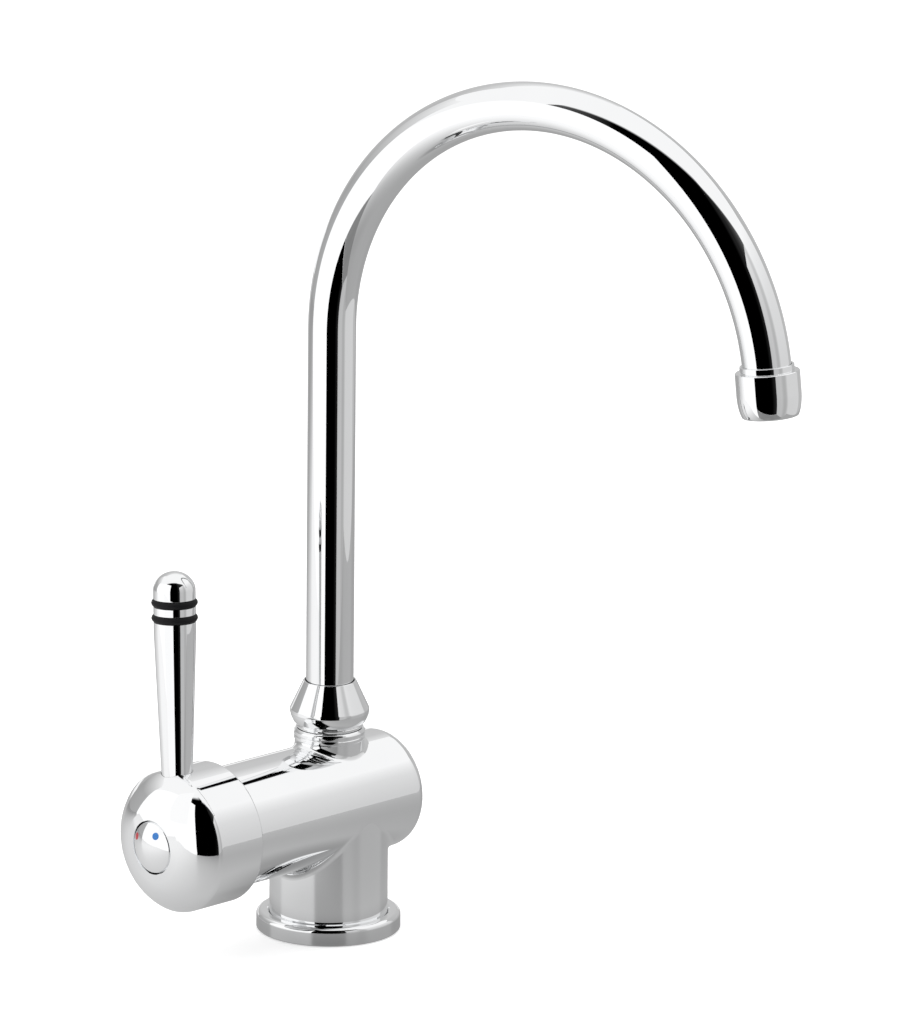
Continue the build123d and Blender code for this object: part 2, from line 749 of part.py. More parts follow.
# ball-shaped cover over the nut, under the handle
dome_spigot_radius = thread_bore_radius - seating_clearance
dome_rear_radius = sqrt(dome_radius**2 - (barrel_front_reach - pivot_reach) ** 2)
dome_front_radius = sqrt(dome_radius**2 - (dome_front - pivot_reach) ** 2)
dome_bore = dome_radius - dome_wall
dome_bore_front_radius = sqrt(dome_bore**2 - (dome_front - pivot_reach) ** 2)
dome_middle_turn = (asin(dome_rear_radius / dome_radius) + asin(dome_front_radius / dome_radius)) / 2
bore_rear_radius = sqrt(dome_bore**2 - (barrel_front_reach - pivot_reach) ** 2)
bore_middle_turn = (asin(bore_rear_radius / dome_bore) + asin(dome_bore_front_radius / dome_bore)) / 2

with BuildPart() as cover_dome:
    with BuildSketch(barrel_section):
        with BuildLine():
            ThreePointArc(
                (barrel_front_reach, dome_rear_radius),
                (pivot_reach + dome_radius * cos(dome_middle_turn), dome_radius * sin(dome_middle_turn)),
                (dome_front, dome_front_radius),
            )
            Line((dome_front, dome_front_radius), (dome_front, dome_bore_front_radius))
            ThreePointArc(
                (dome_front, dome_bore_front_radius),
                (pivot_reach + dome_bore * cos(bore_middle_turn), dome_bore * sin(bore_middle_turn)),
                (barrel_front_reach, bore_rear_radius),
            )
            Polyline(
                (barrel_front_reach, bore_rear_radius),
                (barrel_front_reach, dome_spigot_radius - dome_spigot_wall),
                (cartridge_nut_front, dome_spigot_radius - dome_spigot_wall),
                (cartridge_nut_front, dome_spigot_radius),
                (barrel_front_reach, dome_spigot_radius),
                (barrel_front_reach, dome_rear_radius),
            )
        make_face()
    revolve(axis=barrel_axis)

# Cartridge, moving pieces
moving_disc_place = (0, -moving_disc_drop)
with BuildPart() as moving_disc:
    with BuildSketch(across_barrel(moving_disc_rear)):
        with Locations(moving_disc_place):
            Circle(moving_disc_radius)
    extrude(amount=moving_disc_thickness)
    with BuildSketch(across_barrel(moving_disc_rear)):
        with Locations((0, -moving_disc_drop - mixing_pocket_drop)):
            Circle(mixing_pocket_radius)
    extrude(amount=mixing_pocket_depth, mode=Mode.SUBTRACT)

with BuildPart() as disc_carrier:
    with BuildSketch(across_barrel(moving_disc_front)):
        with Locations(moving_disc_place):
            Circle(moving_disc_radius)
    extrude(amount=carrier_thickness)
    with BuildSketch(across_barrel(carrier_front)):
        Rectangle(carrier_block_width, carrier_block_width)
    extrude(amount=carrier_block_length)
    with BuildSketch(across_barrel(ball_place - socket_radius)):
        Circle(socket_radius)
    extrude(amount=carrier_block_front - ball_place + socket_radius + overrun, mode=Mode.SUBTRACT)

with BuildPart() as cartridge_rotor:
    with BuildSketch(across_barrel(rotor_rear)):
        Circle(rotor_radius)
    extrude(amount=rotor_front - rotor_rear)
    with BuildSketch(across_barrel(rotor_front)):
        Circle(rotor_boss_radius)
    extrude(amount=rotor_boss_front - rotor_front)
    with BuildSketch(across_barrel(rotor_rear)):
        with Locations((0, disc_travel / 2)):
            Rectangle(
                carrier_block_width + 2 * sliding_clearance,
                carrier_block_width + disc_travel + 2 * sliding_clearance,
            )
    extrude(amount=guide_front - rotor_rear, mode=Mode.SUBTRACT)
    with BuildSketch(across_barrel(guide_front)):
        Rectangle(rotor_slot_width, rotor_slot_height)
    extrude(amount=rotor_boss_front - guide_front + overrun, mode=Mode.SUBTRACT)
    with BuildSketch(Plane.XZ.offset(-pivot_pin_length / 2)):
        with Locations((-pivot_reach, barrel_height)):
            Circle(pivot_pin_radius)
    extrude(amount=pivot_pin_length, mode=Mode.SUBTRACT)

with BuildPart() as pivot_pin:
    with BuildSketch(Plane.XZ.offset(-pivot_pin_length / 2)):
        with Locations((-pivot_reach, barrel_height)):
            Circle(pivot_pin_radius)
    extrude(amount=pivot_pin_length)

with BuildPart() as lever_stem:
    with BuildSketch(across_barrel(pivot_reach - stem_heel)):
        Rectangle(stem_width, stem_width)
    extrude(amount=stem_front - pivot_reach + stem_heel)
    with BuildSketch(across_barrel(pivot_reach - stem_arm_length)):
        Circle(stem_arm_radius)
    extrude(amount=stem_arm_length)
    with BuildSketch(across_barrel(ball_place)):
        Circle(stem_waist_radius)
    extrude(amount=ball_reach)
    with Locations((-ball_place, 0, barrel_height)):
        Sphere(ball_radius)
    with BuildSketch(Plane.XZ.offset(-stem_width)):
        with Locations((-pivot_reach, barrel_height)):
            Circle(pivot_pin_radius + running_clearance)
    extrude(amount=2 * stem_width, mode=Mode.SUBTRACT)
    with BuildSketch(across_barrel(stem_front - stem_thread_depth)):
        Circle(stem_thread_radius)
    extrude(amount=stem_thread_depth + overrun, mode=Mode.SUBTRACT)

# Handle cap
corner_centre = (cap_corner_start, cap_radius - cap_corner_radius)
flank_centre = (flank_middle, flank_middle_radius)
edge_turn = radians(cap_edge_turn)
square_turn = radians(90)
inner_flank_radius = cap_flank_radius - cap_wall
hollow_turn = asin((cap_bore_radius - flank_middle_radius) / inner_flank_radius)
face_turn = acos((face_inside - flank_middle) / inner_flank_radius)


def arc_point(centre: tuple[float, float], radius: float, turn: float) -> tuple[float, float]:
    """Point on a circle in the barrel's section, at an angle from the barrel's axis."""
    return (centre[0] + radius * cos(turn), centre[1] + radius * sin(turn))


# the front's section is three arcs that run into one another: corner, flank and crown
edge_point = arc_point(corner_centre, cap_corner_radius, edge_turn)
crown_end = arc_point(flank_centre, cap_flank_radius, crown_turn)
hollow_edge = arc_point(flank_centre, inner_flank_radius, hollow_turn)
face_edge = arc_point(flank_centre, inner_flank_radius, face_turn)

# hollow of the cap, with the stem's boss and the lever's boss left standing
with BuildPart() as cap_hollow:
    with BuildSketch(barrel_section):
        with BuildLine():
            Polyline(
                (cap_boss_rear, 0),
                (cap_rear - overrun, 0),
                (cap_rear - overrun, cap_bore_radius),
                hollow_edge,
            )
            ThreePointArc(
                hollow_edge,
                arc_point(flank_centre, inner_flank_radius, (hollow_turn + face_turn) / 2),
                face_edge,
            )
            Polyline(
                face_edge,
                (face_inside, cap_boss_radius),
                (cap_boss_rear, cap_boss_radius),
                (cap_boss_rear, 0),
            )
        make_face()
    revolve(axis=barrel_axis)
    with BuildSketch(along_lever(-cap_radius)):
        Circle(lever_boss_radius)
    extrude(amount=cap_radius, mode=Mode.SUBTRACT)

with BuildPart() as handle_cap:
    with BuildSketch(barrel_section):
        with BuildLine():
            Polyline((cap_apex, 0), (cap_rear, 0), (cap_rear, cap_radius), (cap_corner_start, cap_radius))
            ThreePointArc(
                (cap_corner_start, cap_radius),
                arc_point(corner_centre, cap_corner_radius, (square_turn + edge_turn) / 2),
                edge_point,
            )
            ThreePointArc(
                edge_point,
                arc_point(flank_centre, cap_flank_radius, (edge_turn + crown_turn) / 2),
                crown_end,
            )
            ThreePointArc(
                crown_end,
                arc_point((crown_middle, 0), cap_crown_radius, crown_turn / 2),
                (cap_apex, 0),
            )
        make_face()
    revolve(axis=barrel_axis)
    rear_rim = handle_cap.edges().filter_by(GeomType.CIRCLE).sort_by(Axis.X)[-1]
    fillet(rear_rim, radius=cap_rear_round)
    add(cap_hollow.part, mode=Mode.SUBTRACT)
    # square socket for the stem
    with BuildSketch(across_barrel(cap_boss_rear)):
        Rectangle(stem_width + 2 * seating_clearance, stem_width + 2 * seating_clearance)
    extrude(amount=stem_front + seating_clearance - cap_boss_rear, mode=Mode.SUBTRACT)
    # screw hole, its head's recess and the button's seat
    with BuildSketch(across_barrel(stem_front)):
        Circle(cap_screw_hole_radius)
    extrude(amount=cap_apex - stem_front, mode=Mode.SUBTRACT)
    with BuildSketch(across_barrel(cap_screw_seat)):
        Circle(cap_screw_head_radius)
    extrude(amount=cap_apex - cap_screw_seat + overrun, mode=Mode.SUBTRACT)
    with BuildSketch(across_barrel(cap_button_seat)):
        Circle(button_radius + seating_clearance)
    extrude(amount=cap_apex - cap_button_seat + overrun, mode=Mode.SUBTRACT)
    # seat and threaded hole for the lever
    with BuildSketch(along_lever(-lever_seat_depth)):
        Circle(lever_base_radius + seating_clearance)
    extrude(amount=lever_seat_depth + overrun, mode=Mode.SUBTRACT)
    with BuildSketch(along_lever(-lever_seat_depth - lever_stud_length - overrun)):
        Circle(lever_stud_radius + seating_clearance)
    extrude(amount=lever_stud_length + 2 * overrun, mode=Mode.SUBTRACT)

with BuildPart() as handle_screw:
    with BuildSketch(across_barrel(cap_screw_seat - screw_length)):
        Circle(screw_radius)
    extrude(amount=screw_length)
    with BuildSketch(across_barrel(cap_screw_seat)):
        Circle(screw_head_radius)
    extrude(amount=screw_head_length)
    with BuildSketch(across_barrel(cap_screw_seat + screw_head_length - screw_socket_depth)):
        RegularPolygon(screw_socket_radius, 6)
    extrude(amount=screw_socket_depth + overrun, mode=Mode.SUBTRACT)

# Button with its hot and cold dots
button_face_radius = ((button_apex - button_edge) ** 2 + button_radius**2) / (2 * (button_apex - button_edge))
button_face_middle = button_apex - button_face_radius
button_face_turn = asin(button_radius / button_face_radius)

with BuildPart() as button_blank:
    with BuildSketch(barrel_section):
        with BuildLine():
            Polyline(
                (button_apex, 0),
                (cap_button_seat - button_plug_length, 0),
                (cap_button_seat - button_plug_length, button_plug_radius),
                (cap_button_seat, button_plug_radius),
                (cap_button_seat, button_radius),
                (button_edge, button_radius),
            )
            ThreePointArc(
                (button_edge, button_radius),
                arc_point((button_face_middle, 0), button_face_radius, button_face_turn / 2),
                (button_apex, 0),
            )
        make_face()
    revolve(axis=barrel_axis)
    button_rim = button_blank.faces().sort_by(Axis.X)[0].edges().sort_by(SortBy.LENGTH)[-1]
    fillet(button_rim, radius=button_edge_round)


def colour_dot(side: float, rise: float) -> Part:
    """Dot let into the button's face; side is towards +Y and rise is up from the barrel's axis."""
    with BuildPart() as dot:
        with BuildSketch(across_barrel(dot_floor)):
            with Locations((-side, rise)):
                Circle(dot_radius)
        extrude(amount=button_apex - dot_floor + overrun)
        add(button_blank.part, mode=Mode.INTERSECT)
    return dot.part


with BuildPart() as red_dot:
    add(colour_dot(red_dot_side, red_dot_rise))
with BuildPart() as blue_dot:
    add(colour_dot(blue_dot_side, blue_dot_rise))

with BuildPart() as index_button:
    add(button_blank.part)
    with BuildSketch(across_barrel(dot_floor)):
        with Locations((-red_dot_side, red_dot_rise), (-blue_dot_side, blue_dot_rise)):
            Circle(dot_radius)
    extrude(amount=button_apex - dot_floor + overrun, mode=Mode.SUBTRACT)

# Lever
with BuildPart() as lever_pin:
    with BuildSketch(lever_section):
        with BuildLine():
            Polyline(
                (lever_length, 0),
                (-lever_seat_depth - lever_stud_length, 0),
                (-lever_seat_depth - lever_stud_length, lever_stud_radius),
                (-lever_seat_depth, lever_stud_radius),
                (-lever_seat_depth, lever_base_radius),
                (0, lever_base_radius),
            )
            Spline(
                (0, lever_base_radius),
                (lever_waist_at, lever_waist_radius),
                (lever_shoulder_at, lever_shoulder_radius),
            )
            Line(
                (lever_shoulder_at, lever_shoulder_radius),
                (lever_length - lever_tip_length, lever_shoulder_radius),
            )
            EllipticalCenterArc(
                (lever_length - lever_tip_length, 0),
                x_radius=lever_tip_length,
                y_radius=lever_shoulder_radius,
                start_angle=0,
                arc_size=90,
            )
        make_face()
    revolve(axis=lever_axis)
    for ring_height in (lever_ring_low, lever_ring_high):
        with BuildSketch(along_lever(ring_height - lever_ring_section)):
            Circle(lever_shoulder_radius + overrun)
            Circle(lever_groove_floor, mode=Mode.SUBTRACT)
        extrude(amount=2 * lever_ring_section, mode=Mode.SUBTRACT)

with BuildPart() as lever_o_ring_lower:
    add(ring_seal(along_lever(lever_ring_low), lever_ring_centre, lever_ring_section))
with BuildPart() as lever_o_ring_upper:
    add(ring_seal(along_lever(lever_ring_high), lever_ring_centre, lever_ring_section))

# Files
os.makedirs("parts", exist_ok=True)
pieces = {
    "body_casting": body_casting,
    "base_ring": base_ring,
    "base_gasket": base_gasket,
    "neck_trim_ring": neck_trim_ring,
    "spout_collar": spout_collar,
    "swivel_bearing": swivel_bearing,
    "swivel_washer": swivel_washer,
    "spout_tube": spout_tube,
    "spout_spigot": spout_spigot,
    "spout_o_ring_lower": spout_o_ring_lower,
    "spout_o_ring_upper": spout_o_ring_upper,
    "outlet_sleeve": outlet_sleeve,
    "outlet_washer": outlet_washer,
    "aerator_housing": aerator_housing,
    "aerator_insert": aerator_insert,
    "aerator_screen": aerator_screen,
    "cartridge_base": cartridge_base,
    "hot_port_seal": hot_port_seal,
    "cold_port_seal": cold_port_seal,
    "outlet_port_seal": outlet_port_seal,
    "fixed_disc": fixed_disc,
    "cartridge_housing": cartridge_housing,
    "cartridge_nut": cartridge_nut,
    "cover_dome": cover_dome,
    "moving_disc": moving_disc,
    "disc_carrier": disc_carrier,
    "cartridge_rotor": cartridge_rotor,
    "pivot_pin": pivot_pin,
    "lever_stem": lever_stem,
    "handle_cap": handle_cap,
    "handle_screw": handle_screw,
    "index_button": index_button,
    "red_dot": red_dot,
    "blue_dot": blue_dot,
    "lever_pin": lever_pin,
    "lever_o_ring_lower": lever_o_ring_lower,
    "lever_o_ring_upper": lever_o_ring_upper,
}
for name, piece in pieces.items():
    piece.part.label = name
    export_step(piece.part, f"parts/{name}.step")
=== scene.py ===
"""Dresses the kitchen mixer tap for its studio picture: finishes, detailed pieces, studio and camera."""

import logging
import math
from dataclasses import dataclass
from enum import Enum

import bmesh
import bpy
from mathutils import Matrix, Vector


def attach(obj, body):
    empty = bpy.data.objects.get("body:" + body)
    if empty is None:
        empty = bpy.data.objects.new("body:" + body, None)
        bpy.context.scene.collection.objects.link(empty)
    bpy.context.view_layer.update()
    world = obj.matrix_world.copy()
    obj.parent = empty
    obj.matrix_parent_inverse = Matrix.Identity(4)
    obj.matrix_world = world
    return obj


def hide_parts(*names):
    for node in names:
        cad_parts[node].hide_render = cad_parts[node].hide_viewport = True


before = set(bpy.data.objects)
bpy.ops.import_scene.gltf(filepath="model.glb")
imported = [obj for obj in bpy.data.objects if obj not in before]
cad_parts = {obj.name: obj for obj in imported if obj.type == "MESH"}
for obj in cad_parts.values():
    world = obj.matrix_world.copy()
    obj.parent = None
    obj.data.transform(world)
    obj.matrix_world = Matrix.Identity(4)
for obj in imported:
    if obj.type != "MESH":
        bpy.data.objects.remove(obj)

LOG = logging.getLogger("mixer_tap")
Triple = tuple[float, float, float]
Point = tuple[float, float]
Profile = tuple[Point, ...]
Socket = bpy.types.NodeSocket

MM = 0.001
BARREL_HEIGHT = 49.8  # The barrel's axis over the deck, in millimetres.
MERGE_WITHIN = 0.000002  # Points of a mesh that lie this near are merged, in metres.
AXIS_WITHIN = 0.0000001  # A point this near the axis is the pole.
RIM_WITHIN = 0.000001  # A point this near the rim is on it.
EDGE_SPANS = 3
SHADING_WEIGHT = 60
PATTERN_SPREAD: Point = (0.3, 0.7)  # Most of a noise pattern lies between these values.
UNIT_SPREAD: Point = (0.0, 1.0)


class Grain(Enum):
    """Small-scale surface texture that a finish can carry."""

    POLISHED = "polished"
    MACHINED = "machined"
    MOULDED = "moulded"
    SATIN = "satin"


# Scale, detail and stretch of each grain's noise pattern.
FINE_PATTERNS: dict[Grain, tuple[float, float, Triple]] = {
    Grain.POLISHED: (90.0, 1.0, (1.0, 1.0, 1.0)),
    Grain.MACHINED: (900.0, 2.0, (1.0, 1.0, 6.0)),
    Grain.MOULDED: (1400.0, 4.0, (1.0, 1.0, 1.0)),
    Grain.SATIN: (700.0, 3.0, (1.0, 1.0, 1.0)),
}


class ShaderTree:
    """A node material while it is being put together."""

    def __init__(self, name: str) -> None:
        """Starts an empty material.

        Args:
            name: Name of the new material.
        """
        self.material = bpy.data.materials.new(name)
        self.material.use_nodes = True
        self.tree = self.material.node_tree
        self.tree.nodes.clear()
        self.output = self.node("ShaderNodeOutputMaterial")

    def node(self, kind: str, **settings: object) -> bpy.types.Node:
        """Adds a node and sets its properties.

        Args:
            kind: Blender's name for the node type.
            **settings: Properties of the node, by name.

        Returns:
            The new node.
        """
        made = self.tree.nodes.new(kind)
        for key, value in settings.items():
            setattr(made, key, value)
        return made

    def link(self, source: Socket, target: Socket) -> None:
        """Joins two sockets."""
        self.tree.links.new(source, target)

    def noise(self, scale: float, detail: float = 3.0, stretch: Triple = (1, 1, 1)) -> Socket:
        """Adds a noise pattern on Object coordinates.

        Args:
            scale: Size of the pattern, in repeats per metre.
            detail: Octaves of the noise.
            stretch: Factors on the three coordinates.

        Returns:
            The noise's value socket.
        """
        place = self.node("ShaderNodeTexCoord")
        mapping = self.node("ShaderNodeMapping")
        mapping.inputs["Scale"].default_value = stretch
        pattern = self.node("ShaderNodeTexNoise")
        pattern.inputs["Scale"].default_value = scale
        pattern.inputs["Detail"].default_value = detail
        self.link(place.outputs["Object"], mapping.inputs["Vector"])
        self.link(mapping.outputs["Vector"], pattern.inputs["Vector"])
        return pattern.outputs["Fac"]

    def ranged(self, value: Socket, low: float, high: float, spread: Point = PATTERN_SPREAD) -> Socket:
        """Maps a pattern's value to a range.

        Args:
            value: The pattern.
            low: Result at the range's start.
            high: Result at its end.
            spread: Values of the pattern that give low and high.

        Returns:
            The mapped value.
        """
        remap = self.node("ShaderNodeMapRange")
        remap.inputs["From Min"].default_value = spread[0]
        remap.inputs["From Max"].default_value = spread[1]
        remap.inputs["To Min"].default_value = low
        remap.inputs["To Max"].default_value = high
        self.link(value, remap.inputs["Value"])
        return remap.outputs["Result"]

    def times(self, first: Socket, second: Socket) -> Socket:
        """Multiplies two values.

        Args:
            first: The one value.
            second: The other value.

        Returns:
            Their product.
        """
        product = self.node("ShaderNodeMath", operation="MULTIPLY")
        self.link(first, product.inputs[0])
        self.link(second, product.inputs[1])
        return product.outputs["Value"]

    def tinted(self, value: Socket, dark: Triple, light: Triple) -> Socket:
        """Turns a pattern's value into a colour between two others.

        Args:
            value: The pattern.
            dark: Colour where the pattern is low.
            light: Colour where it is high.

        Returns:
            The colour socket.
        """
        ramp = self.node("ShaderNodeValToRGB")
        for stop, position, colour in zip(ramp.color_ramp.elements, PATTERN_SPREAD, (dark, light)):
            stop.position = position
            stop.color = (*colour, 1)
        self.link(value, ramp.inputs["Fac"])
        return ramp.outputs["Color"]

    def bumped(self, value: Socket, depth: float) -> Socket:
        """Makes a bumped normal from a pattern.

        Args:
            value: The pattern.
            depth: Height of the relief, in metres.

        Returns:
            The normal socket.
        """
        bump = self.node("ShaderNodeBump")
        bump.inputs["Strength"].default_value = 1.0
        bump.inputs["Distance"].default_value = depth
        self.link(value, bump.inputs["Height"])
        return bump.outputs["Normal"]


@dataclass(frozen=True)
class Finish:
    """A surface finish, built once as a node material, with its relief in metres."""

    name: str
    base: Triple
    shade: Triple
    roughness: float
    roughness_spread: float
    metallic: float = 0.0
    grain: Grain = Grain.SATIN
    relief: float = 0.000004
    coat: float = 0.0
    coat_roughness: float = 0.04
    specular: float = 0.5
    cloud_scale: float = 35.0
    cloud_detail: float = 4.0

    def build(self) -> bpy.types.Material:
        """Makes the finish's material, or gives the one already made.

        Returns:
            The material.
        """
        known = bpy.data.materials.get(self.name)
        if known is not None:
            return known
        tree = ShaderTree(self.name)
        shader = tree.node("ShaderNodeBsdfPrincipled")
        tree.link(shader.outputs["BSDF"], tree.output.inputs["Surface"])
        shader.inputs["Metallic"].default_value = self.metallic
        shader.inputs["Specular IOR Level"].default_value = self.specular
        if self.coat:
            shader.inputs["Coat Weight"].default_value = self.coat
            shader.inputs["Coat Roughness"].default_value = self.coat_roughness
        cloud = tree.noise(self.cloud_scale, self.cloud_detail)
        tree.link(tree.tinted(cloud, self.shade, self.base), shader.inputs["Base Color"])
        fine = tree.noise(*FINE_PATTERNS[self.grain])
        low, high = self.roughness - self.roughness_spread, self.roughness + self.roughness_spread
        tree.link(tree.ranged(fine, low, high), shader.inputs["Roughness"])
        tree.link(tree.bumped(fine, self.relief), shader.inputs["Normal"])
        return tree.material


CHROME = Finish(
    "polished_chrome",
    base=(0.93, 0.935, 0.94),
    shade=(0.915, 0.92, 0.928),
    roughness=0.03,
    roughness_spread=0.012,
    metallic=1.0,
    grain=Grain.POLISHED,
    relief=0.0000008,
)
BRASS = Finish(
    "turned_brass",
    base=(0.80, 0.60, 0.30),
    shade=(0.66, 0.47, 0.21),
    roughness=0.28,
    roughness_spread=0.08,
    metallic=1.0,
    grain=Grain.MACHINED,
)
STEEL = Finish(
    "bright_steel",
    base=(0.62, 0.62, 0.61),
    shade=(0.52, 0.52, 0.52),
    roughness=0.22,
    roughness_spread=0.07,
    metallic=1.0,
    grain=Grain.MACHINED,
)
CERAMIC = Finish(
    "lapped_ceramic",
    base=(0.86, 0.85, 0.81),
    shade=(0.79, 0.78, 0.74),
    roughness=0.16,
    roughness_spread=0.04,
)
RUBBER = Finish(
    "black_rubber_moulding",
    base=(0.010, 0.010, 0.011),
    shade=(0.005, 0.005, 0.006),
    roughness=0.50,
    roughness_spread=0.10,
    grain=Grain.MOULDED,
    relief=0.00001,
    specular=0.15,
)
WHITE_PLASTIC = Finish(
    "white_moulding",
    base=(0.82, 0.82, 0.80),
    shade=(0.74, 0.74, 0.72),
    roughness=0.38,
    roughness_spread=0.06,
    grain=Grain.MOULDED,
)
GREY_PLASTIC = Finish(
    "grey_moulding",
    base=(0.36, 0.37, 0.38),
    shade=(0.29, 0.30, 0.31),
    roughness=0.40,
    roughness_spread=0.07,
    grain=Grain.MOULDED,
)
RED = Finish(
    "red_enamel_fill",
    base=(0.50, 0.016, 0.028),
    shade=(0.41, 0.011, 0.021),
    roughness=0.22,
    roughness_spread=0.05,
    relief=0.000002,
    coat=0.3,
)
BLUE = Finish(
    "blue_enamel_fill",
    base=(0.014, 0.175, 0.52),
    shade=(0.010, 0.130, 0.44),
    roughness=0.22,
    roughness_spread=0.05,
    relief=0.000002,
    coat=0.3,
)

FINISH_OF_SLOT = {
    "chrome_plate": CHROME,
    "bare_brass": BRASS,
    "stainless_steel": STEEL,
    "ceramic": CERAMIC,
    "black_rubber": RUBBER,
    "white_plastic": WHITE_PLASTIC,
    "grey_plastic": GREY_PLASTIC,
    "red_enamel": RED,
    "blue_enamel": BLUE,
}


def dress_frame() -> None:
    """Gives each CAD node the finish of its record slot."""
    for name, piece in sorted(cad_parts.items()):
        for place in piece.material_slots:
            slot = place.material.name.split(".")[0]
            place.material = FINISH_OF_SLOT[slot].build()
        LOG.info("dressed %s", name)


def arc(middle: Point, radius: float, start: float, end: float, steps: int) -> list[Point]:
    """Gives the points of an arc in an outline.

    Args:
        middle: The arc's centre, as distance from the axis and height.
        radius: The arc's radius.
        start: Angle of its first point, in degrees from the outward direction.
        end: Angle of its last point.
        steps: Number of spans.

    Returns:
        The points, from start to end.
    """
    turns = [math.radians(start + (end - start) * step / steps) for step in range(steps + 1)]
    return [(middle[0] + radius * math.cos(turn), middle[1] + radius * math.sin(turn)) for turn in turns]


def upright(foot: Vector, direction: Vector) -> Matrix:
    """Gives the place of a piece that was modelled standing on the origin.

    Args:
        foot: Where its origin goes, in metres.
        direction: Where its upward axis points.

    Returns:
        The placing matrix.
    """
    return Matrix.Translation(foot) @ direction.to_track_quat("Z", "Y").to_matrix().to_4x4()


def finish_piece(piece: bpy.types.Object, edge: float, sharp: float = 28.0) -> None:
    """Rounds a piece's sharp edges and gives it clean smooth shading.

    Args:
        piece: The piece, in object mode.
        edge: Width of the round, in millimetres.
        sharp: Least angle of an edge that is rounded, in degrees.
    """
    bpy.ops.object.select_all(action="DESELECT")
    piece.select_set(True)
    bpy.context.view_layer.objects.active = piece
    bpy.ops.object.shade_smooth()
    round_off = piece.modifiers.new("edge_round", "BEVEL")
    round_off.limit_method = "ANGLE"
    round_off.angle_limit = math.radians(sharp)
    round_off.width = edge * MM
    round_off.segments = EDGE_SPANS
    round_off.harden_normals = True
    bpy.ops.object.modifier_apply(modifier="edge_round")
    even = piece.modifiers.new("even_shading", "WEIGHTED_NORMAL")
    even.mode = "FACE_AREA"
    even.weight = SHADING_WEIGHT
    bpy.ops.object.modifier_apply(modifier="even_shading")


def put(piece: bpy.types.Object, place: Matrix) -> None:
    """Moves a piece into place and leaves its object at the origin.

    Args:
        piece: The piece.
        place: Its place in the frame.
    """
    bpy.ops.object.select_all(action="DESELECT")
    piece.select_set(True)
    bpy.context.view_layer.objects.active = piece
    piece.matrix_world = place
    bpy.ops.object.transform_apply(location=True, rotation=True, scale=True)


def twin(piece: bpy.types.Object, name: str) -> bpy.types.Object:
    """Copies a piece, with a mesh of its own.

    Args:
        piece: The piece.
        name: Name of the copy and of its mesh.

    Returns:
        The copy, in the same place.
    """
    copy = piece.copy()
    copy.data = piece.data.copy()
    copy.name = copy.data.name = name
    bpy.context.scene.collection.objects.link(copy)
    return copy


def hand_over(
    piece: bpy.types.Object, body: str, finish: Finish, stands_for: tuple[str, ...] = ()
) -> None:
    """Args:
        piece: The piece, in its place.
        body: The body that it rides on.
        finish: Its finish.
        stands_for: The CAD nodes that it replaces.
    """
    piece.data.materials.clear()
    piece.data.materials.append(finish.build())
    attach(piece, body)
    if stands_for:
        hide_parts(*stands_for)
    LOG.info("made %s, %d faces", piece.name, len(piece.data.polygons))


@dataclass(frozen=True)
class Turning:
    """A turned shape, drawn up ring by ring from the outline of its wall, in millimetres."""

    name: str
    outline: Profile
    segments: int = 96
    edge: float = 0.12

    def build(self) -> bpy.types.Object:
        """Models the shape standing on the origin.

        Returns:
            The new object, in object mode.
        """
        from_pole = self.outline[0][0] == 0
        rings = self.outline[1:] if from_pole else self.outline
        bpy.ops.object.select_all(action="DESELECT")
        bpy.ops.mesh.primitive_circle_add(
            vertices=self.segments, radius=rings[0][0] * MM, fill_type="TRIFAN" if from_pole else "NOTHING"
        )
        piece = bpy.context.object
        piece.name = piece.data.name = self.name
        bpy.ops.object.mode_set(mode="EDIT")
        bpy.ops.mesh.select_mode(type="VERT")
        bpy.ops.mesh.select_all(action="SELECT")
        bpy.ops.transform.translate(value=(0, 0, rings[0][1] * MM))
        if from_pole:
            self._lift_pole(piece)
        for (radius, height), (next_radius, next_height) in zip(rings, rings[1:]):
            rise = (next_height - height) * MM
            bpy.ops.mesh.extrude_edges_move(TRANSFORM_OT_translate={"value": (0, 0, rise)})
            if next_radius == 0:
                bpy.ops.mesh.merge(type="COLLAPSE")
            else:
                widen = next_radius / radius
                bpy.ops.transform.resize(value=(widen, widen, 1), center_override=(0, 0, next_height * MM))
        bpy.ops.mesh.select_all(action="SELECT")
        bpy.ops.mesh.remove_doubles(threshold=MERGE_WITHIN)
        bpy.ops.mesh.normals_make_consistent(inside=False)
        bpy.ops.object.mode_set(mode="OBJECT")
        finish_piece(piece, self.edge)
        return piece

    def _lift_pole(self, piece: bpy.types.Object) -> None:
        """Moves the first disc's middle to the pole's height and selects its rim.

        Args:
            piece: The disc, in edit mode.
        """
        mesh = bmesh.from_edit_mesh(piece.data)
        for point in mesh.verts:
            point.select_set(point.co.xy.length < AXIS_WITHIN)
        mesh.select_flush_mode()
        bmesh.update_edit_mesh(piece.data)
        bpy.ops.transform.translate(value=(0, 0, (self.outline[0][1] - self.outline[1][1]) * MM))
        bpy.ops.mesh.select_all(action="INVERT")


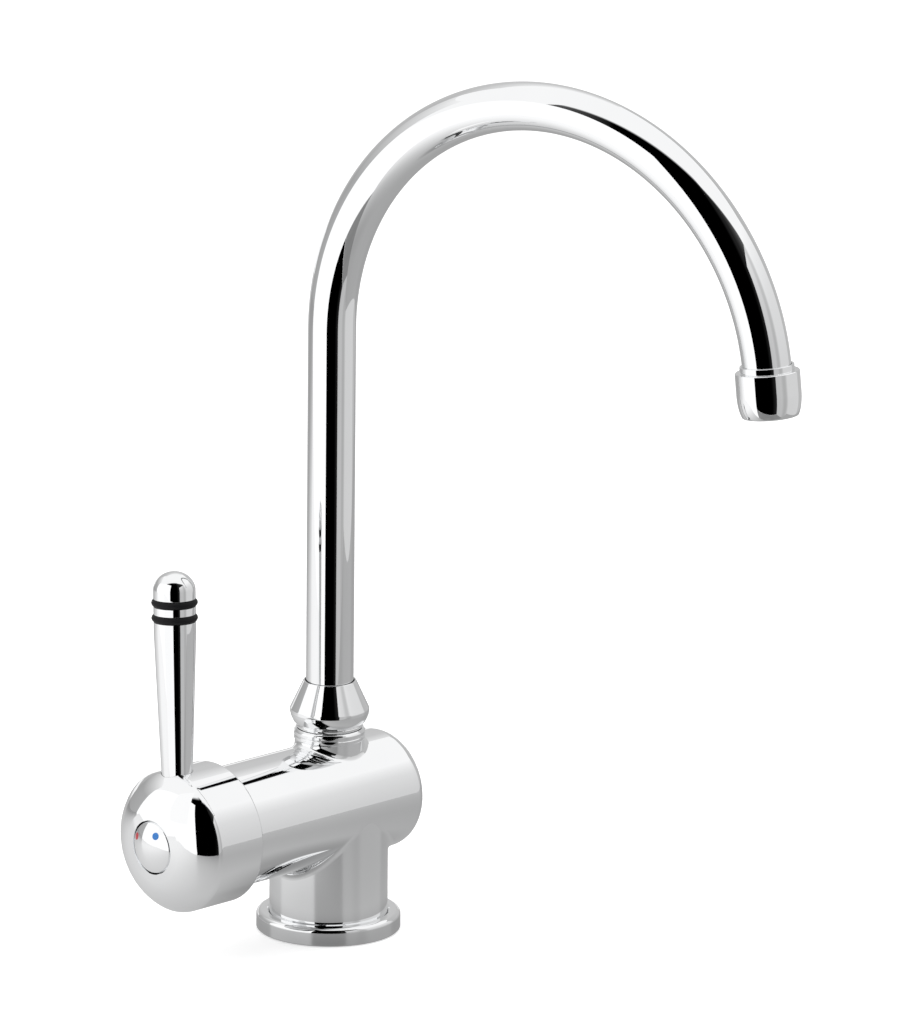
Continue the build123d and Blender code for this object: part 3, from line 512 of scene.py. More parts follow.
@dataclass(frozen=True)
class Base:
    """Ring round the foot of the casting, in millimetres."""

    radius: float = 27.4
    height: float = 7.0
    shoulder: float = 2.0
    shoulder_spans: int = 12
    bore: float = 22.6
    bore_break: float = 0.75
    register: float = 19.8
    ledge: float = 2.0
    groove: Triple = (23.2, 25.6, 2.2)
    foot_break: float = 0.35
    segments: int = 128

    def build(self) -> None:
        """Makes the ring."""
        shoulder_middle = (self.radius - self.shoulder, self.height - self.shoulder)
        inner, outer, depth = self.groove
        outline = (
            (self.register, 0.0),
            (inner, 0.0),
            (inner, depth),
            (outer, depth),
            (outer, 0.0),
            (self.radius - self.foot_break, 0.0),
            (self.radius, self.foot_break),
            *arc(shoulder_middle, self.shoulder, 0, 90, self.shoulder_spans),
            (self.bore + self.bore_break, self.height),
            (self.bore, self.height - self.bore_break),
            (self.bore, self.ledge),
            (self.register, self.ledge),
            (self.register, 0.0),
        )
        ring = Turning("base_ring_turned", outline, self.segments).build()
        hand_over(ring, "body", CHROME, ("base_ring",))


@dataclass(frozen=True)
class Collar:
    """Double-cone collar that holds the spout, in millimetres."""

    cavity: float = 11.4
    foot: float = 79.1
    foot_radius: float = 12.55
    foot_break: Point = (0.15, 0.3)
    groove_rise: float = 0.9
    groove_step: float = 0.28
    groove_reach: Triple = (0.08, -0.1, 0.2)
    flare: Profile = ((13.62, 81.45), (14.25, 82.75), (14.72, 83.85))
    waist_radius: float = 15.0
    waist_low: float = 84.7
    waist_high: float = 86.5
    waist_round: float = 1.5
    waist_round_rise: float = 0.55
    waist_round_start: float = -26.0
    waist_spans: int = 5
    waist_break: Triple = (0.15, 0.12, 0.1)
    shoulder: float = 93.0
    top: float = 97.2
    top_radius: float = 9.95
    lip: Point = (0.12, 0.2)
    bore: float = 9.1
    mouth: float = 9.42
    mouth_depth: float = 1.1
    segments: int = 128
    edge: float = 0.08

    def build(self) -> None:
        """Turns the collar, with two fine grooves above its foot and a thin lip at its top."""
        groove = self.foot + self.groove_rise
        round_middle = (self.waist_radius - self.waist_round, self.waist_low + self.waist_round_rise)
        below, inset, above = self.waist_break
        outline = (
            (self.cavity, self.foot),
            (self.foot_radius - self.foot_break[0], self.foot),
            (self.foot_radius, self.foot + self.foot_break[1]),
            *(
                (self.foot_radius + reach, groove + count * self.groove_step)
                for count, reach in enumerate(self.groove_reach)
            ),
            *self.flare,
            *arc(round_middle, self.waist_round, self.waist_round_start, 0, self.waist_spans),
            (self.waist_radius, self.waist_high - below),
            (self.waist_radius - inset, self.waist_high + above),
            (self.top_radius + self.lip[0], self.top - self.lip[1]),
            (self.top_radius, self.top),
            (self.mouth, self.top),
            (self.mouth, self.top - self.mouth_depth),
            (self.bore, self.top - self.mouth_depth),
            (self.bore, self.shoulder),
            (self.cavity, self.shoulder),
            (self.cavity, self.foot),
        )
        collar = Turning("spout_collar_turned", outline, self.segments, self.edge).build()
        hand_over(collar, "body", CHROME, ("spout_collar",))


@dataclass(frozen=True)
class Trim:
    """Ring between the casting's neck and the collar, in millimetres."""

    collar: Collar
    neck_top: float = 78.2
    neck_radius: float = 13.2
    skirt: float = 0.32
    seat_gap: float = 0.02
    flange: float = 0.1
    flange_top: float = 0.7
    slope: Point = (0.1, 0.35)
    beads: Profile = ((0.0, 0.4), (0.0, 1.5), (0.2, 1.75), (0.2, 2.0), (0.0, 2.25), (0.0, 3.3))
    hem: float = 3.7
    bite: float = 0.15
    segments: int = 128
    edge: float = 0.07

    def build(self) -> None:
        """Turns the ring, whose thin skirt carries two fine beads over the neck's rim."""
        outer = self.neck_radius + self.skirt
        outline = (
            (self.collar.cavity, self.neck_top + self.seat_gap),
            (self.collar.cavity, self.neck_top + self.flange_top),
            (self.collar.foot_radius + self.flange, self.neck_top + self.flange_top),
            (self.neck_radius - self.slope[0], self.neck_top + self.slope[1]),
            *((outer - inset, self.neck_top - drop) for inset, drop in self.beads),
            (self.neck_radius + self.seat_gap, self.neck_top - self.hem),
            (self.neck_radius - self.bite, self.neck_top - self.hem),
            (self.neck_radius - self.bite, self.neck_top + self.seat_gap),
            (self.collar.cavity, self.neck_top + self.seat_gap),
        )
        trim = Turning("neck_trim_turned", outline, self.segments, self.edge).build()
        hand_over(trim, "body", CHROME, ("neck_trim_ring",))


@dataclass(frozen=True)
class Wiper:
    """Thin black wiper that closes the collar's mouth round the tube, in millimetres."""

    collar: Collar
    floor_gap: float = 0.05
    press: float = 0.06
    side_gap: float = 0.02
    side: float = 0.5
    lip: Point = (0.04, 0.72)
    back: float = 0.6
    edge: float = 0.04

    def build(self) -> None:
        """Turns the wiper."""
        low = self.collar.top - self.collar.mouth_depth + self.floor_gap
        inner, outer = self.collar.bore - self.press, self.collar.mouth - self.side_gap
        outline = (
            (inner, low),
            (outer, low),
            (outer, low + self.side),
            (self.collar.bore + self.lip[0], low + self.lip[1]),
            (inner, low + self.back),
            (inner, low),
        )
        wiper = Turning("collar_wiper_seal", outline, edge=self.edge).build()
        hand_over(wiper, "body", RUBBER)


@dataclass(frozen=True)
class Spout:
    """Drawn and bent tube of the spout, in millimetres and degrees."""

    radius: float = 9.0
    wall: float = 1.2
    foot: float = 90.4
    arch_radius: float = 96.6
    arch_height: float = 233.4
    arch_angle: float = 173.7
    tail: float = 1.5
    turn: float = 10.7
    segments: int = 96
    riser_spans: int = 12
    arch_spans: int = 128
    edge: float = 0.15
    sharp: float = 60.0

    @property
    def direction(self) -> Vector:
        """Horizontal direction in which the spout points."""
        return Vector((math.sin(math.radians(self.turn)), -math.cos(math.radians(self.turn)), 0))

    @property
    def outlet_place(self) -> Matrix:
        """Place of the outlet's pieces, which are modelled with the water flowing up their axis.

        Returns:
            The placing matrix, with its origin at the arch's end.
        """
        swing = math.radians(self.arch_angle)
        across = self.arch_radius * (1 - math.cos(swing))
        height = self.arch_height + self.arch_radius * math.sin(swing)
        end = self.direction * across + Vector((0, 0, height))
        flow = self.direction * math.sin(swing) + Vector((0, 0, math.cos(swing)))
        return upright(end * MM, flow)

    def build(self) -> None:
        """Draws the riser up, spins the arch and gives the tube its wall."""
        bpy.ops.object.select_all(action="DESELECT")
        bpy.ops.mesh.primitive_circle_add(vertices=self.segments, radius=self.radius * MM)
        tube = bpy.context.object
        tube.name = tube.data.name = "spout_tube_bent"
        bpy.ops.object.mode_set(mode="EDIT")
        bpy.ops.mesh.select_mode(type="VERT")
        bpy.ops.mesh.select_all(action="SELECT")
        bpy.ops.transform.translate(value=(0, 0, self.foot * MM))
        rise = (self.arch_height - self.foot) / self.riser_spans * MM
        for _ in range(self.riser_spans):
            bpy.ops.mesh.extrude_edges_move(TRANSFORM_OT_translate={"value": (0, 0, rise)})
        bpy.ops.mesh.spin(
            steps=self.arch_spans,
            angle=-math.radians(self.arch_angle),
            center=(self.direction * self.arch_radius + Vector((0, 0, self.arch_height))) * MM,
            axis=Vector((0, 0, 1)).cross(self.direction),
        )
        flow = self.outlet_place.to_3x3() @ Vector((0, 0, 1))
        bpy.ops.mesh.extrude_edges_move(TRANSFORM_OT_translate={"value": flow * self.tail * MM})
        bpy.ops.mesh.select_all(action="SELECT")
        bpy.ops.mesh.remove_doubles(threshold=MERGE_WITHIN)
        bpy.ops.mesh.normals_make_consistent(inside=False)
        bpy.ops.object.mode_set(mode="OBJECT")
        wall = tube.modifiers.new("wall", "SOLIDIFY")
        wall.thickness = self.wall * MM
        wall.offset = -1
        bpy.ops.object.modifier_apply(modifier="wall")
        finish_piece(tube, self.edge, self.sharp)
        hand_over(tube, "spout", CHROME, ("spout_tube",))


@dataclass(frozen=True)
class Outlet:
    """Housing of the aerator with the ring round the tube, in millimetres along the outlet's own axis."""

    place: Matrix
    tube_bore: float = 9.1
    bore_break: Point = (0.12, 0.1)
    top: float = -3.6
    top_radius: float = 10.0
    top_break: float = 0.15
    radius: float = 11.85
    shoulder: float = -1.3
    shoulder_fillet: float = 0.1
    shoulder_break: float = 0.25
    straight: float = 7.0
    taper_bend: Point = (0.1, 12.2)
    taper_spans: int = 14
    foot: float = 15.3
    foot_radius: float = 10.35
    foot_break: float = 0.12
    mouth: float = 9.3
    mouth_break: float = 0.3
    insert_front: float = 14.0
    insert_bore: float = 10.0
    insert_rear: float = 3.1
    sleeve_bore: float = 10.7
    sleeve_rear: float = -1.0
    segments: int = 112
    edge: float = 0.08

    def build(self) -> None:
        """Turns the housing."""
        outline = (
            (self.tube_bore, self.top + self.bore_break[1]),
            (self.tube_bore + self.bore_break[0], self.top),
            (self.top_radius - self.top_break, self.top),
            (self.top_radius, self.top + self.top_break),
            (self.top_radius, self.shoulder - self.shoulder_fillet),
            (self.top_radius + self.shoulder_fillet, self.shoulder),
            (self.radius - self.shoulder_break, self.shoulder),
            (self.radius, self.shoulder + self.shoulder_break),
            (self.radius, self.straight),
            *self._taper(),
            (self.foot_radius - self.foot_break, self.foot),
            (self.mouth + self.mouth_break, self.foot),
            (self.mouth, self.foot - self.mouth_break),
            (self.mouth, self.insert_front),
            (self.insert_bore, self.insert_front),
            (self.insert_bore, self.insert_rear),
            (self.sleeve_bore, self.insert_rear),
            (self.sleeve_bore, self.sleeve_rear),
            (self.tube_bore, self.sleeve_rear),
            (self.tube_bore, self.top + self.bore_break[1]),
        )
        housing = Turning("aerator_housing_turned", outline, self.segments, self.edge).build()
        put(housing, self.place)
        hand_over(housing, "spout", CHROME, ("aerator_housing",))

    def _taper(self) -> list[Point]:
        """Gives the outline of the housing's taper, a curve that starts straight and closes in to the foot.

        Returns:
            Its points, from the end of the straight side to the foot.
        """
        controls = (
            (self.radius, self.straight),
            (self.radius - self.taper_bend[0], self.taper_bend[1]),
            (self.foot_radius, self.foot - self.foot_break),
        )
        points = []
        for step in range(1, self.taper_spans + 1):
            along = step / self.taper_spans
            weights = ((1 - along) ** 2, 2 * along * (1 - along), along**2)
            radius = sum(weight * control[0] for weight, control in zip(weights, controls))
            height = sum(weight * control[1] for weight, control in zip(weights, controls))
            points.append((radius, height))
        return points


@dataclass(frozen=True)
class Lever:
    """Tapered lever with its two rubber rings, in millimetres along its own axis and degrees."""

    length: float = 75.6
    stud_radius: float = 2.95
    stud_end: float = -10.0
    stud_break: float = 0.5
    seat: float = -3.0
    base_radius: float = 5.9
    shoulder_at: float = 52.5
    shoulder_radius: float = 7.9
    taper_spans: int = 10
    tip_length: float = 7.0
    tip_spans: int = 20
    groove_floor: float = 5.7
    ring_section: float = 1.45
    ring_radius: float = 7.2
    ring_heights: Point = (58.1, 63.9)
    ring_segments: tuple[int, int] = (96, 28)
    parting_swell: float = 1.005
    lean: float = 1.65
    turn: float = 3.15
    cap_radius: float = 26.9
    reach: float = 77.5
    edge: float = 0.1

    @property
    def place(self) -> Matrix:
        """Place of the lever, whose origin is on the cap's side.

        Returns:
            The placing matrix.
        """
        outward = Vector((0, math.sin(math.radians(self.turn)), math.cos(math.radians(self.turn))))
        lean = math.radians(self.lean)
        direction = outward * math.cos(lean) + Vector((math.sin(lean), 0, 0))
        foot = Vector((-self.reach, 0, BARREL_HEIGHT)) + outward * self.cap_radius
        return upright(foot * MM, direction)

    def build(self) -> None:
        """Makes the lever and both rings."""
        self._pin()
        self._rings()

    def _pin(self) -> None:
        """Turns the lever, from its stud up to the rounded tip."""
        tip = self.length - self.tip_length
        widening = self.shoulder_radius - self.base_radius
        spans = self.taper_spans
        taper = [
            (self.base_radius + widening * step / spans, self.shoulder_at * step / spans)
            for step in range(spans + 1)
        ]
        grooves = []
        for height in self.ring_heights:
            low, high = height - self.ring_section, height + self.ring_section
            grooves += [
                (self.shoulder_radius, low),
                (self.groove_floor, low),
                (self.groove_floor, high),
                (self.shoulder_radius, high),
            ]
        dome = [
            (self.shoulder_radius * radius, tip + self.tip_length * height)
            for radius, height in arc((0, 0), 1.0, 0, 90, self.tip_spans)[:-1]
        ]
        outline = (
            (0, self.stud_end),
            (self.stud_radius - self.stud_break, self.stud_end),
            (self.stud_radius, self.stud_end + self.stud_break),
            (self.stud_radius, self.seat),
            (self.base_radius, self.seat),
            *taper,
            *grooves,
            *dome,
            (0, self.length),
        )
        pin = Turning("lever_pin_turned", outline, edge=self.edge).build()
        put(pin, self.place)
        hand_over(pin, "handle", CHROME, ("lever_pin",))

    def _rings(self) -> None:
        """Moulds one rubber ring with a fine parting line, and copies it to the upper groove."""
        bpy.ops.object.select_all(action="DESELECT")
        bpy.ops.mesh.primitive_torus_add(
            major_radius=self.ring_radius * MM,
            minor_radius=self.ring_section * MM,
            major_segments=self.ring_segments[0],
            minor_segments=self.ring_segments[1],
        )
        lower = bpy.context.object
        lower.name = lower.data.name = "lever_ring_moulded_lower"
        bpy.ops.object.mode_set(mode="EDIT")
        bpy.ops.mesh.select_mode(type="VERT")
        mesh = bmesh.from_edit_mesh(lower.data)
        rim = (self.ring_radius + self.ring_section) * MM
        for point in mesh.verts:
            point.select_set(point.co.xy.length > rim - RIM_WITHIN)
        mesh.select_flush_mode()
        bmesh.update_edit_mesh(lower.data)
        bpy.ops.transform.resize(value=(self.parting_swell, self.parting_swell, 1), center_override=(0, 0, 0))
        bpy.ops.object.mode_set(mode="OBJECT")
        bpy.ops.object.shade_smooth()
        upper = twin(lower, "lever_ring_moulded_upper")
        nodes = ("lever_o_ring_lower", "lever_o_ring_upper")
        for ring, height, node in zip((lower, upper), self.ring_heights, nodes):
            put(ring, self.place @ Matrix.Translation((0, 0, height * MM)))
            hand_over(ring, "handle", RUBBER, (node,))


@dataclass(frozen=True)
class Button:
    """Raised button on the cap's face with its two dots, in millimetres.

    Its seat is that far from the spout's axis, along the barrel's. The dots' places are distances from the
    button's middle, along the frame's y and z axes.
    """

    radius: float = 10.2
    seat: float = 89.07
    side: float = 2.2
    crown: float = 3.2
    edge_round: float = 1.0
    edge_shares: Triple = (0.7, 0.2, 0.4)
    face_spans: int = 24
    plug_radius: float = 3.8
    plug_length: float = 1.4
    segments: int = 112
    edge: float = 0.1
    dot_radius: float = 1.4
    dot_rise: float = 0.07
    dot_depth: float = 0.1
    dot_dome_shares: Profile = ((0.45, 0.95), (0.8, 0.7))
    dot_segments: int = 40
    dot_edge: float = 0.03
    red: Point = (7.05, 3.2)
    blue: Point = (-3.65, 5.5)

    @property
    def face_radius(self) -> float:
        """Radius of the ball shape of the button's face."""
        return (self.crown**2 + self.radius**2) / (2 * self.crown)

    def build(self) -> None:
        """Makes the button and both dots."""
        self._button()
        self._dots()

    def _button(self) -> None:
        """Turns the button with its crowned face."""
        face_share, rim_share, drop_share = self.edge_shares
        face_middle = self.side + self.crown - self.face_radius
        reach = self.radius - self.edge_round * face_share
        widest = math.degrees(math.acos(reach / self.face_radius))
        face = arc((0, face_middle), self.face_radius, widest, 90, self.face_spans)[:-1]
        outline = (
            (0, -self.plug_length),
            (self.plug_radius, -self.plug_length),
            (self.plug_radius, 0),
            (self.radius, 0),
            (self.radius, self.side - self.edge_round),
            (self.radius - self.edge_round * rim_share, self.side - self.edge_round * drop_share),
            *face,
            (0, self.side + self.crown),
        )
        button = Turning("index_button_turned", outline, self.segments, self.edge).build()
        put(button, upright(Vector((-self.seat, 0, BARREL_HEIGHT)) * MM, Vector((-1, 0, 0))))
        hand_over(button, "handle", CHROME, ("index_button",))

    def _dots(self) -> None:
        """Models one low-domed dot of enamel and sets a copy on each side of the button's middle."""
        outline = (
            (0, self.dot_rise),
            *((self.dot_radius * across, self.dot_rise * up) for across, up in self.dot_dome_shares),
            (self.dot_radius, 0.0),
            (self.dot_radius, -self.dot_depth),
            (0, -self.dot_depth),
        )
        first = Turning("red_dot_enamel", outline, self.dot_segments, self.dot_edge).build()
        second = twin(first, "blue_dot_enamel")
        ball = Vector((-(self.seat + self.side + self.crown - self.face_radius), 0, BARREL_HEIGHT))
        for dot, (side, rise), finish, slot, node in (
            (first, self.red, RED, "red_enamel", "red_dot"),
            (second, self.blue, BLUE, "blue_enamel", "blue_dot"),
        ):
            ahead = -math.sqrt(self.face_radius**2 - side**2 - rise**2)
            outward = Vector((ahead, side, rise))
            put(dot, upright((ball + outward) * MM, outward.normalized()))
            hand_over(dot, "handle", finish, (node,))


def ground_to_frame(across: float, ahead: float) -> Vector:
    """Turns a place on the table, seen from the camera, into the frame's coordinates.

    Args:
        across: Metres to the camera's right of the riser.
        ahead: Metres from the riser towards the camera.

    Returns:
        The point in the frame.
    """
    half = math.sqrt(0.5)
    return Vector(((across - ahead) * half, -(across + ahead) * half, 0.0))


def reflector(name: str, run: Vector, rise: Vector, middle: Vector) -> bpy.types.Object:
    """Sets up a flat sheet of the studio that only reflections see.

    Args:
        name: Name of the sheet.
        run: Its one side, in metres.
        rise: Its other side.
        middle: Its middle, in the frame.

    Returns:
        The sheet, marked as stage.
    """
    bpy.ops.object.select_all(action="DESELECT")
    bpy.ops.mesh.primitive_plane_add(size=1.0)
    sheet = bpy.context.object
    sheet.name = name
    place = Matrix.Identity(4)
    for column, direction in enumerate((run, rise, run.cross(rise).normalized(), middle)):
        for row in range(3):
            place[row][column] = direction[row]
    sheet.matrix_world = place
    bpy.ops.object.transform_apply(location=True, rotation=True, scale=True)
    for ray in ("camera", "diffuse", "transmission", "volume_scatter", "shadow"):
        setattr(sheet, f"visible_{ray}", False)
    return sheet


@dataclass(frozen=True)
class Card:
    """An upright studio card that only reflections see, in metres.

    Start and end are places on the ground as ground_to_frame takes them. Along and upwards give its
    brightness, as stops over its length and its height that are multiplied. The veil is a glow over its
    height that is added.
    """

    name: str
    start: Point
    end: Point
    low: float
    high: float
    along: Profile
    upwards: Profile = ((0.0, 1.0), (1.0, 1.0))
    veil: Profile = ((0.0, 0.0), (1.0, 0.0))

    def build(self) -> None:
        """Makes the card, with its brightness along its length and height."""
        foot = ground_to_frame(*self.start)
        run = ground_to_frame(*self.end) - foot
        rise = Vector((0, 0, self.high - self.low))
        middle = foot + run / 2 + Vector((0, 0, (self.high + self.low) / 2))
        card = reflector(self.name, run, rise, middle)
        card.data.materials.append(self._paint())
        LOG.info("card %s", self.name)

    def _paint(self) -> bpy.types.Material:
        """Makes the card's glowing paint from its three brightness profiles.

        Returns:
            The material.
        """
        tree = ShaderTree(self.name + "_paint")
        place = tree.node("ShaderNodeTexCoord")
        split = tree.node("ShaderNodeSeparateXYZ")
        tree.link(place.outputs["UV"], split.inputs["Vector"])
        profiles = []
        for axis, stops in (("X", self.along), ("Y", self.upwards), ("Y", self.veil)):
            ramp = tree.node("ShaderNodeValToRGB")
            ready = len(ramp.color_ramp.elements)
            for stop, (at, value) in enumerate(stops):
                spot = ramp.color_ramp.elements[stop] if stop < ready else ramp.color_ramp.elements.new(at)
                spot.position = at
                spot.color = (value, value, value, 1)
            tree.link(split.outputs[axis], ramp.inputs["Fac"])
            profiles.append(ramp.outputs["Color"])
        level = tree.node("ShaderNodeMath", operation="ADD")
        tree.link(tree.times(profiles[0], profiles[1]), level.inputs[0])
        tree.link(profiles[2], level.inputs[1])
        glow = tree.node("ShaderNodeEmission")
        tree.link(level.outputs["Value"], glow.inputs["Strength"])
        tree.link(glow.outputs["Emission"], tree.output.inputs["Surface"])
        return tree.material


@dataclass(frozen=True)
class Lamp:
    """A square soft lamp that the metal doesn't mirror, in metres and watts."""

    name: str
    place: Triple
    size: float
    power: float
    aim_height: float = 0.1

    def build(self) -> None:
        """Hangs the lamp and aims it at the tap."""
        light = bpy.data.lights.new(self.name, "AREA")
        light.size = self.size
        light.energy = self.power
        lamp = bpy.data.objects.new(self.name, light)
        bpy.context.scene.collection.objects.link(lamp)
        lamp.location = self.place
        aim = Vector((0, 0, self.aim_height)) - Vector(self.place)
        lamp.rotation_euler = aim.to_track_quat("-Z", "Y").to_euler()
        lamp.visible_glossy = False
        LOG.info("lamp %s", self.name)


@dataclass(frozen=True)
class Pool:
    """A soft round pool of shade or light on the table, in metres.

    Its middle is a place as ground_to_frame takes it. The table's brightness is multiplied by the inner
    level up to the near distance, and by the outer level from the far distance on.
    """

    middle: Point
    near: float
    far: float
    inner: float
    outer: float = 1.0

    def fade(self, tree: ShaderTree) -> Socket:
        """Adds the pool to the table's material.

        Args:
            tree: The table's material.

        Returns:
            The factor on the table's brightness.
        """
        middle = ground_to_frame(*self.middle)
        place = tree.node("ShaderNodeTexCoord")
        moved = tree.node("ShaderNodeMapping")
        moved.inputs["Location"].default_value = (-middle.x, -middle.y, 0)
        tree.link(place.outputs["Object"], moved.inputs["Vector"])
        away = tree.node("ShaderNodeVectorMath", operation="LENGTH")
        tree.link(moved.outputs["Vector"], away.inputs[0])
        fade = tree.node("ShaderNodeMapRange", interpolation_type="SMOOTHSTEP")
        fade.inputs["From Min"].default_value = self.near
        fade.inputs["From Max"].default_value = self.far
        fade.inputs["To Min"].default_value = self.inner
        fade.inputs["To Max"].default_value = self.outer
        tree.link(away.outputs["Value"], fade.inputs["Value"])
        return fade.outputs["Result"]


ROOM_FLOOR = -0.9  # Height at which the room's walls and the apron start, in metres.

LAMPS = (
    Lamp("lamp_above", place=(-0.2, -0.1, 1.5), size=1.8, power=9.0),
    Lamp("lamp_left", place=(-1.1, 0.2, 0.9), size=0.9, power=5.0),
)

# Painted shade and light on the table's glow: a contact shadow under the riser, a fainter one under the
# barrel and cap, and a painted pool of light to the left of the tap.
PAINTED_SHADE_AND_LIGHT_POOLS = (
    Pool(middle=(0.0, 0.0), near=0.030, far=0.065, inner=0.62),
    Pool(middle=(-0.046, 0.046), near=0.0, far=0.07, inner=0.88),
    Pool(middle=(-0.55, 0.11), near=0.18, far=0.70, inner=2.8),
)

# The cards from the front round to the back. The kicker stands beside the lever, within the handle's reach.
CARDS = (
    Card(
        "dark_room",
        start=(-4.2, 1.7),
        end=(0.97, 1.7),
        low=ROOM_FLOOR,
        high=4.1,
        along=((0.0, 0.10), (0.30, 0.03), (0.42, 0.0), (0.90, 0.0), (0.93, 0.005), (1.0, 0.02)),
        veil=((0.0, 0.0), (0.83, 0.0), (0.86, 0.04), (1.0, 0.9)),
    ),
    Card(
        "dark_room_high",
        start=(0.97, 1.7),
        end=(3.2, 1.5),
        low=1.3,
        high=3.6,
        along=((0.0, 0.01), (0.3, 0.04), (1.0, 0.14)),
        veil=((0.0, 0.0), (0.78, 0.0), (0.84, 0.04), (1.0, 0.9)),
    ),
    Card(
        "soft_box_left",
        start=(-0.202, 0.433),
        end=(-0.90, -0.205),
        low=-0.5,
        high=0.57,
        along=((0.0, 1.1), (1.0, 1.1)),
    ),
    Card(
        "kicker",
        start=(-0.0603, 0.085),
        end=(-0.10, 0.085),
        low=0.066,
        high=0.138,
        along=((0.0, 1.05), (1.0, 1.05)),
    ),
    Card(
        "grey_wall_right",
        start=(0.95, 1.695),
        end=(1.75, -1.1),
        low=ROOM_FLOOR,
        high=1.3,
        along=((0.0, 0.52), (0.22, 0.54), (0.30, 0.44), (0.36, 0.46), (0.42, 0.66), (0.9, 0.68), (1.0, 0.6)),
        upwards=((0.0, 0.97), (0.42, 1.0), (0.7, 1.15), (1.0, 1.5)),
    ),
    Card(
        "grey_wall_back_right",
        start=(1.75, -1.1),
        end=(0.5, -1.7),
        low=ROOM_FLOOR,
        high=1.3,
        along=((0.0, 0.5), (1.0, 0.55)),
    ),
    Card(
        "grey_wall_back_left",
        start=(-1.4, -0.35),
        end=(-0.9, -1.2),
        low=ROOM_FLOOR,
        high=1.25,
        along=((0.0, 0.42), (1.0, 0.36)),
        upwards=((0.0, 1.0), (0.62, 1.05), (1.0, 2.3)),
    ),
    Card(
        "back_wall",
        start=(-0.9, -1.2),
        end=(0.5, -1.7),
        low=0.17,
        high=1.75,
        along=((0.0, 0.44), (0.6, 0.56), (1.0, 0.52)),
        upwards=((0.0, 1.0), (0.5, 1.1), (1.0, 1.7)),
    ),
)


@dataclass(frozen=True)
class Studio:
    """White sweep, floor, table and apron, with the lamps and the cards, in metres.

    Across runs to the camera's right of the riser and towards runs from the riser to the camera.
    """

    white: float = 1.0
    fill: float = 0.75
    floor_size: float = 12.0
    floor_level: float = -0.0003
    floor_greys: Point = (0.82, 0.84)
    floor_cloud: Point = (3.0, 2.0)
    floor_lift: float = 0.47
    table_across: Point = (-1.2, 0.55)
    table_towards: Point = (-1.4, 0.27)
    table_level: float = -0.0006
    table_glow: float = 0.375
    table_mottle: Point = (0.97, 1.03)
    table_cloud: Point = (2.0, 1.0)
    table_sheen: float = 1.4
    table_index: float = 1.5
    table_haze: float = 0.30
    apron_across: Point = (-1.6, 1.75)
    apron_towards: Point = (0.3, 1.69)
    apron_glow: Point = (0.22, 0.27)
    apron_cloud: Point = (1.5, 1.0)

    def build(self) -> None:
        """Builds the whole studio."""
        self._world()
        self._floor()
        self._table()
        self._apron()
        for lamp in LAMPS:
            lamp.build()
        for card in CARDS:
            card.build()

    def _world(self) -> None:
        """Makes the white surroundings: full white to camera and metal, softer as light."""
        world = bpy.data.worlds.new("white_sweep")
        bpy.context.scene.world = world
        world.use_nodes = True
        tree = world.node_tree
        tree.nodes.clear()
        output = tree.nodes.new("ShaderNodeOutputWorld")
        path = tree.nodes.new("ShaderNodeLightPath")
        shown = path.outputs["Is Camera Ray"]
        for ray in ("Is Glossy Ray", "Is Transmission Ray"):
            either = tree.nodes.new("ShaderNodeMath")
            either.operation = "MAXIMUM"
            tree.links.new(shown, either.inputs[0])
            tree.links.new(path.outputs[ray], either.inputs[1])
            shown = either.outputs[0]
        mix = tree.nodes.new("ShaderNodeMixShader")
        tree.links.new(shown, mix.inputs["Fac"])
        for entry, strength in ((1, self.fill), (2, self.white)):
            glow = tree.nodes.new("ShaderNodeBackground")
            glow.inputs["Color"].default_value = (1, 1, 1, 1)
            glow.inputs["Strength"].default_value = strength
            tree.links.new(glow.outputs[0], mix.inputs[entry])
        tree.links.new(mix.outputs[0], output.inputs["Surface"])
        LOG.info("world")

    def _floor(self) -> None:
        """Makes the white floor that the camera sees, with the object's soft shadow on it."""
        bpy.ops.object.select_all(action="DESELECT")
        bpy.ops.mesh.primitive_plane_add(size=self.floor_size, location=(0, 0, self.floor_level))
        floor = bpy.context.object
        floor.name = "studio_floor"
        bpy.ops.object.transform_apply(location=True, rotation=True, scale=True)
        tree = ShaderTree("floor_white")
        matt = tree.node("ShaderNodeBsdfDiffuse")
        dark, light = ((grey, grey, grey) for grey in self.floor_greys)
        tree.link(tree.tinted(tree.noise(*self.floor_cloud), dark, light), matt.inputs["Color"])
        glow = tree.node("ShaderNodeEmission")
        path = tree.node("ShaderNodeLightPath")
        lift = tree.ranged(path.outputs["Is Camera Ray"], 0.0, self.floor_lift, UNIT_SPREAD)
        tree.link(lift, glow.inputs["Strength"])
        both = tree.node("ShaderNodeAddShader")
        tree.link(matt.outputs["BSDF"], both.inputs[0])
        tree.link(glow.outputs["Emission"], both.inputs[1])
        tree.link(both.outputs["Shader"], tree.output.inputs["Surface"])
        floor.data.materials.append(tree.material)
        floor.visible_glossy = False
        LOG.info("floor")

    def _table(self) -> None:
        """Makes the glossy table top that only reflections see, with painted shade under the tap and a
        painted pool of light to its left.
        """
        table = self._plate("studio_table", self.table_across, self.table_towards, self.table_level)
        tree = ShaderTree("table_gloss")
        glow = tree.node("ShaderNodeEmission")
        low, high = (self.table_glow * share for share in self.table_mottle)
        level = tree.ranged(tree.noise(*self.table_cloud), low, high)
        # The pools paint shade under the tap and light to its left onto the table's glow.
        for pool in PAINTED_SHADE_AND_LIGHT_POOLS:
            level = tree.times(level, pool.fade(tree))
        tree.link(level, glow.inputs["Strength"])
        sheen = tree.node("ShaderNodeBsdfGlossy")
        sheen.inputs["Roughness"].default_value = self.table_haze
        edge = tree.node("ShaderNodeFresnel")
        edge.inputs["IOR"].default_value = self.table_index
        mix = tree.node("ShaderNodeMixShader")
        tree.link(tree.ranged(edge.outputs["Fac"], 0.0, self.table_sheen, UNIT_SPREAD), mix.inputs["Fac"])
        tree.link(glow.outputs["Emission"], mix.inputs[1])
        tree.link(sheen.outputs["BSDF"], mix.inputs[2])
        tree.link(mix.outputs["Shader"], tree.output.inputs["Surface"])
        table.data.materials.append(tree.material)
        LOG.info("table")

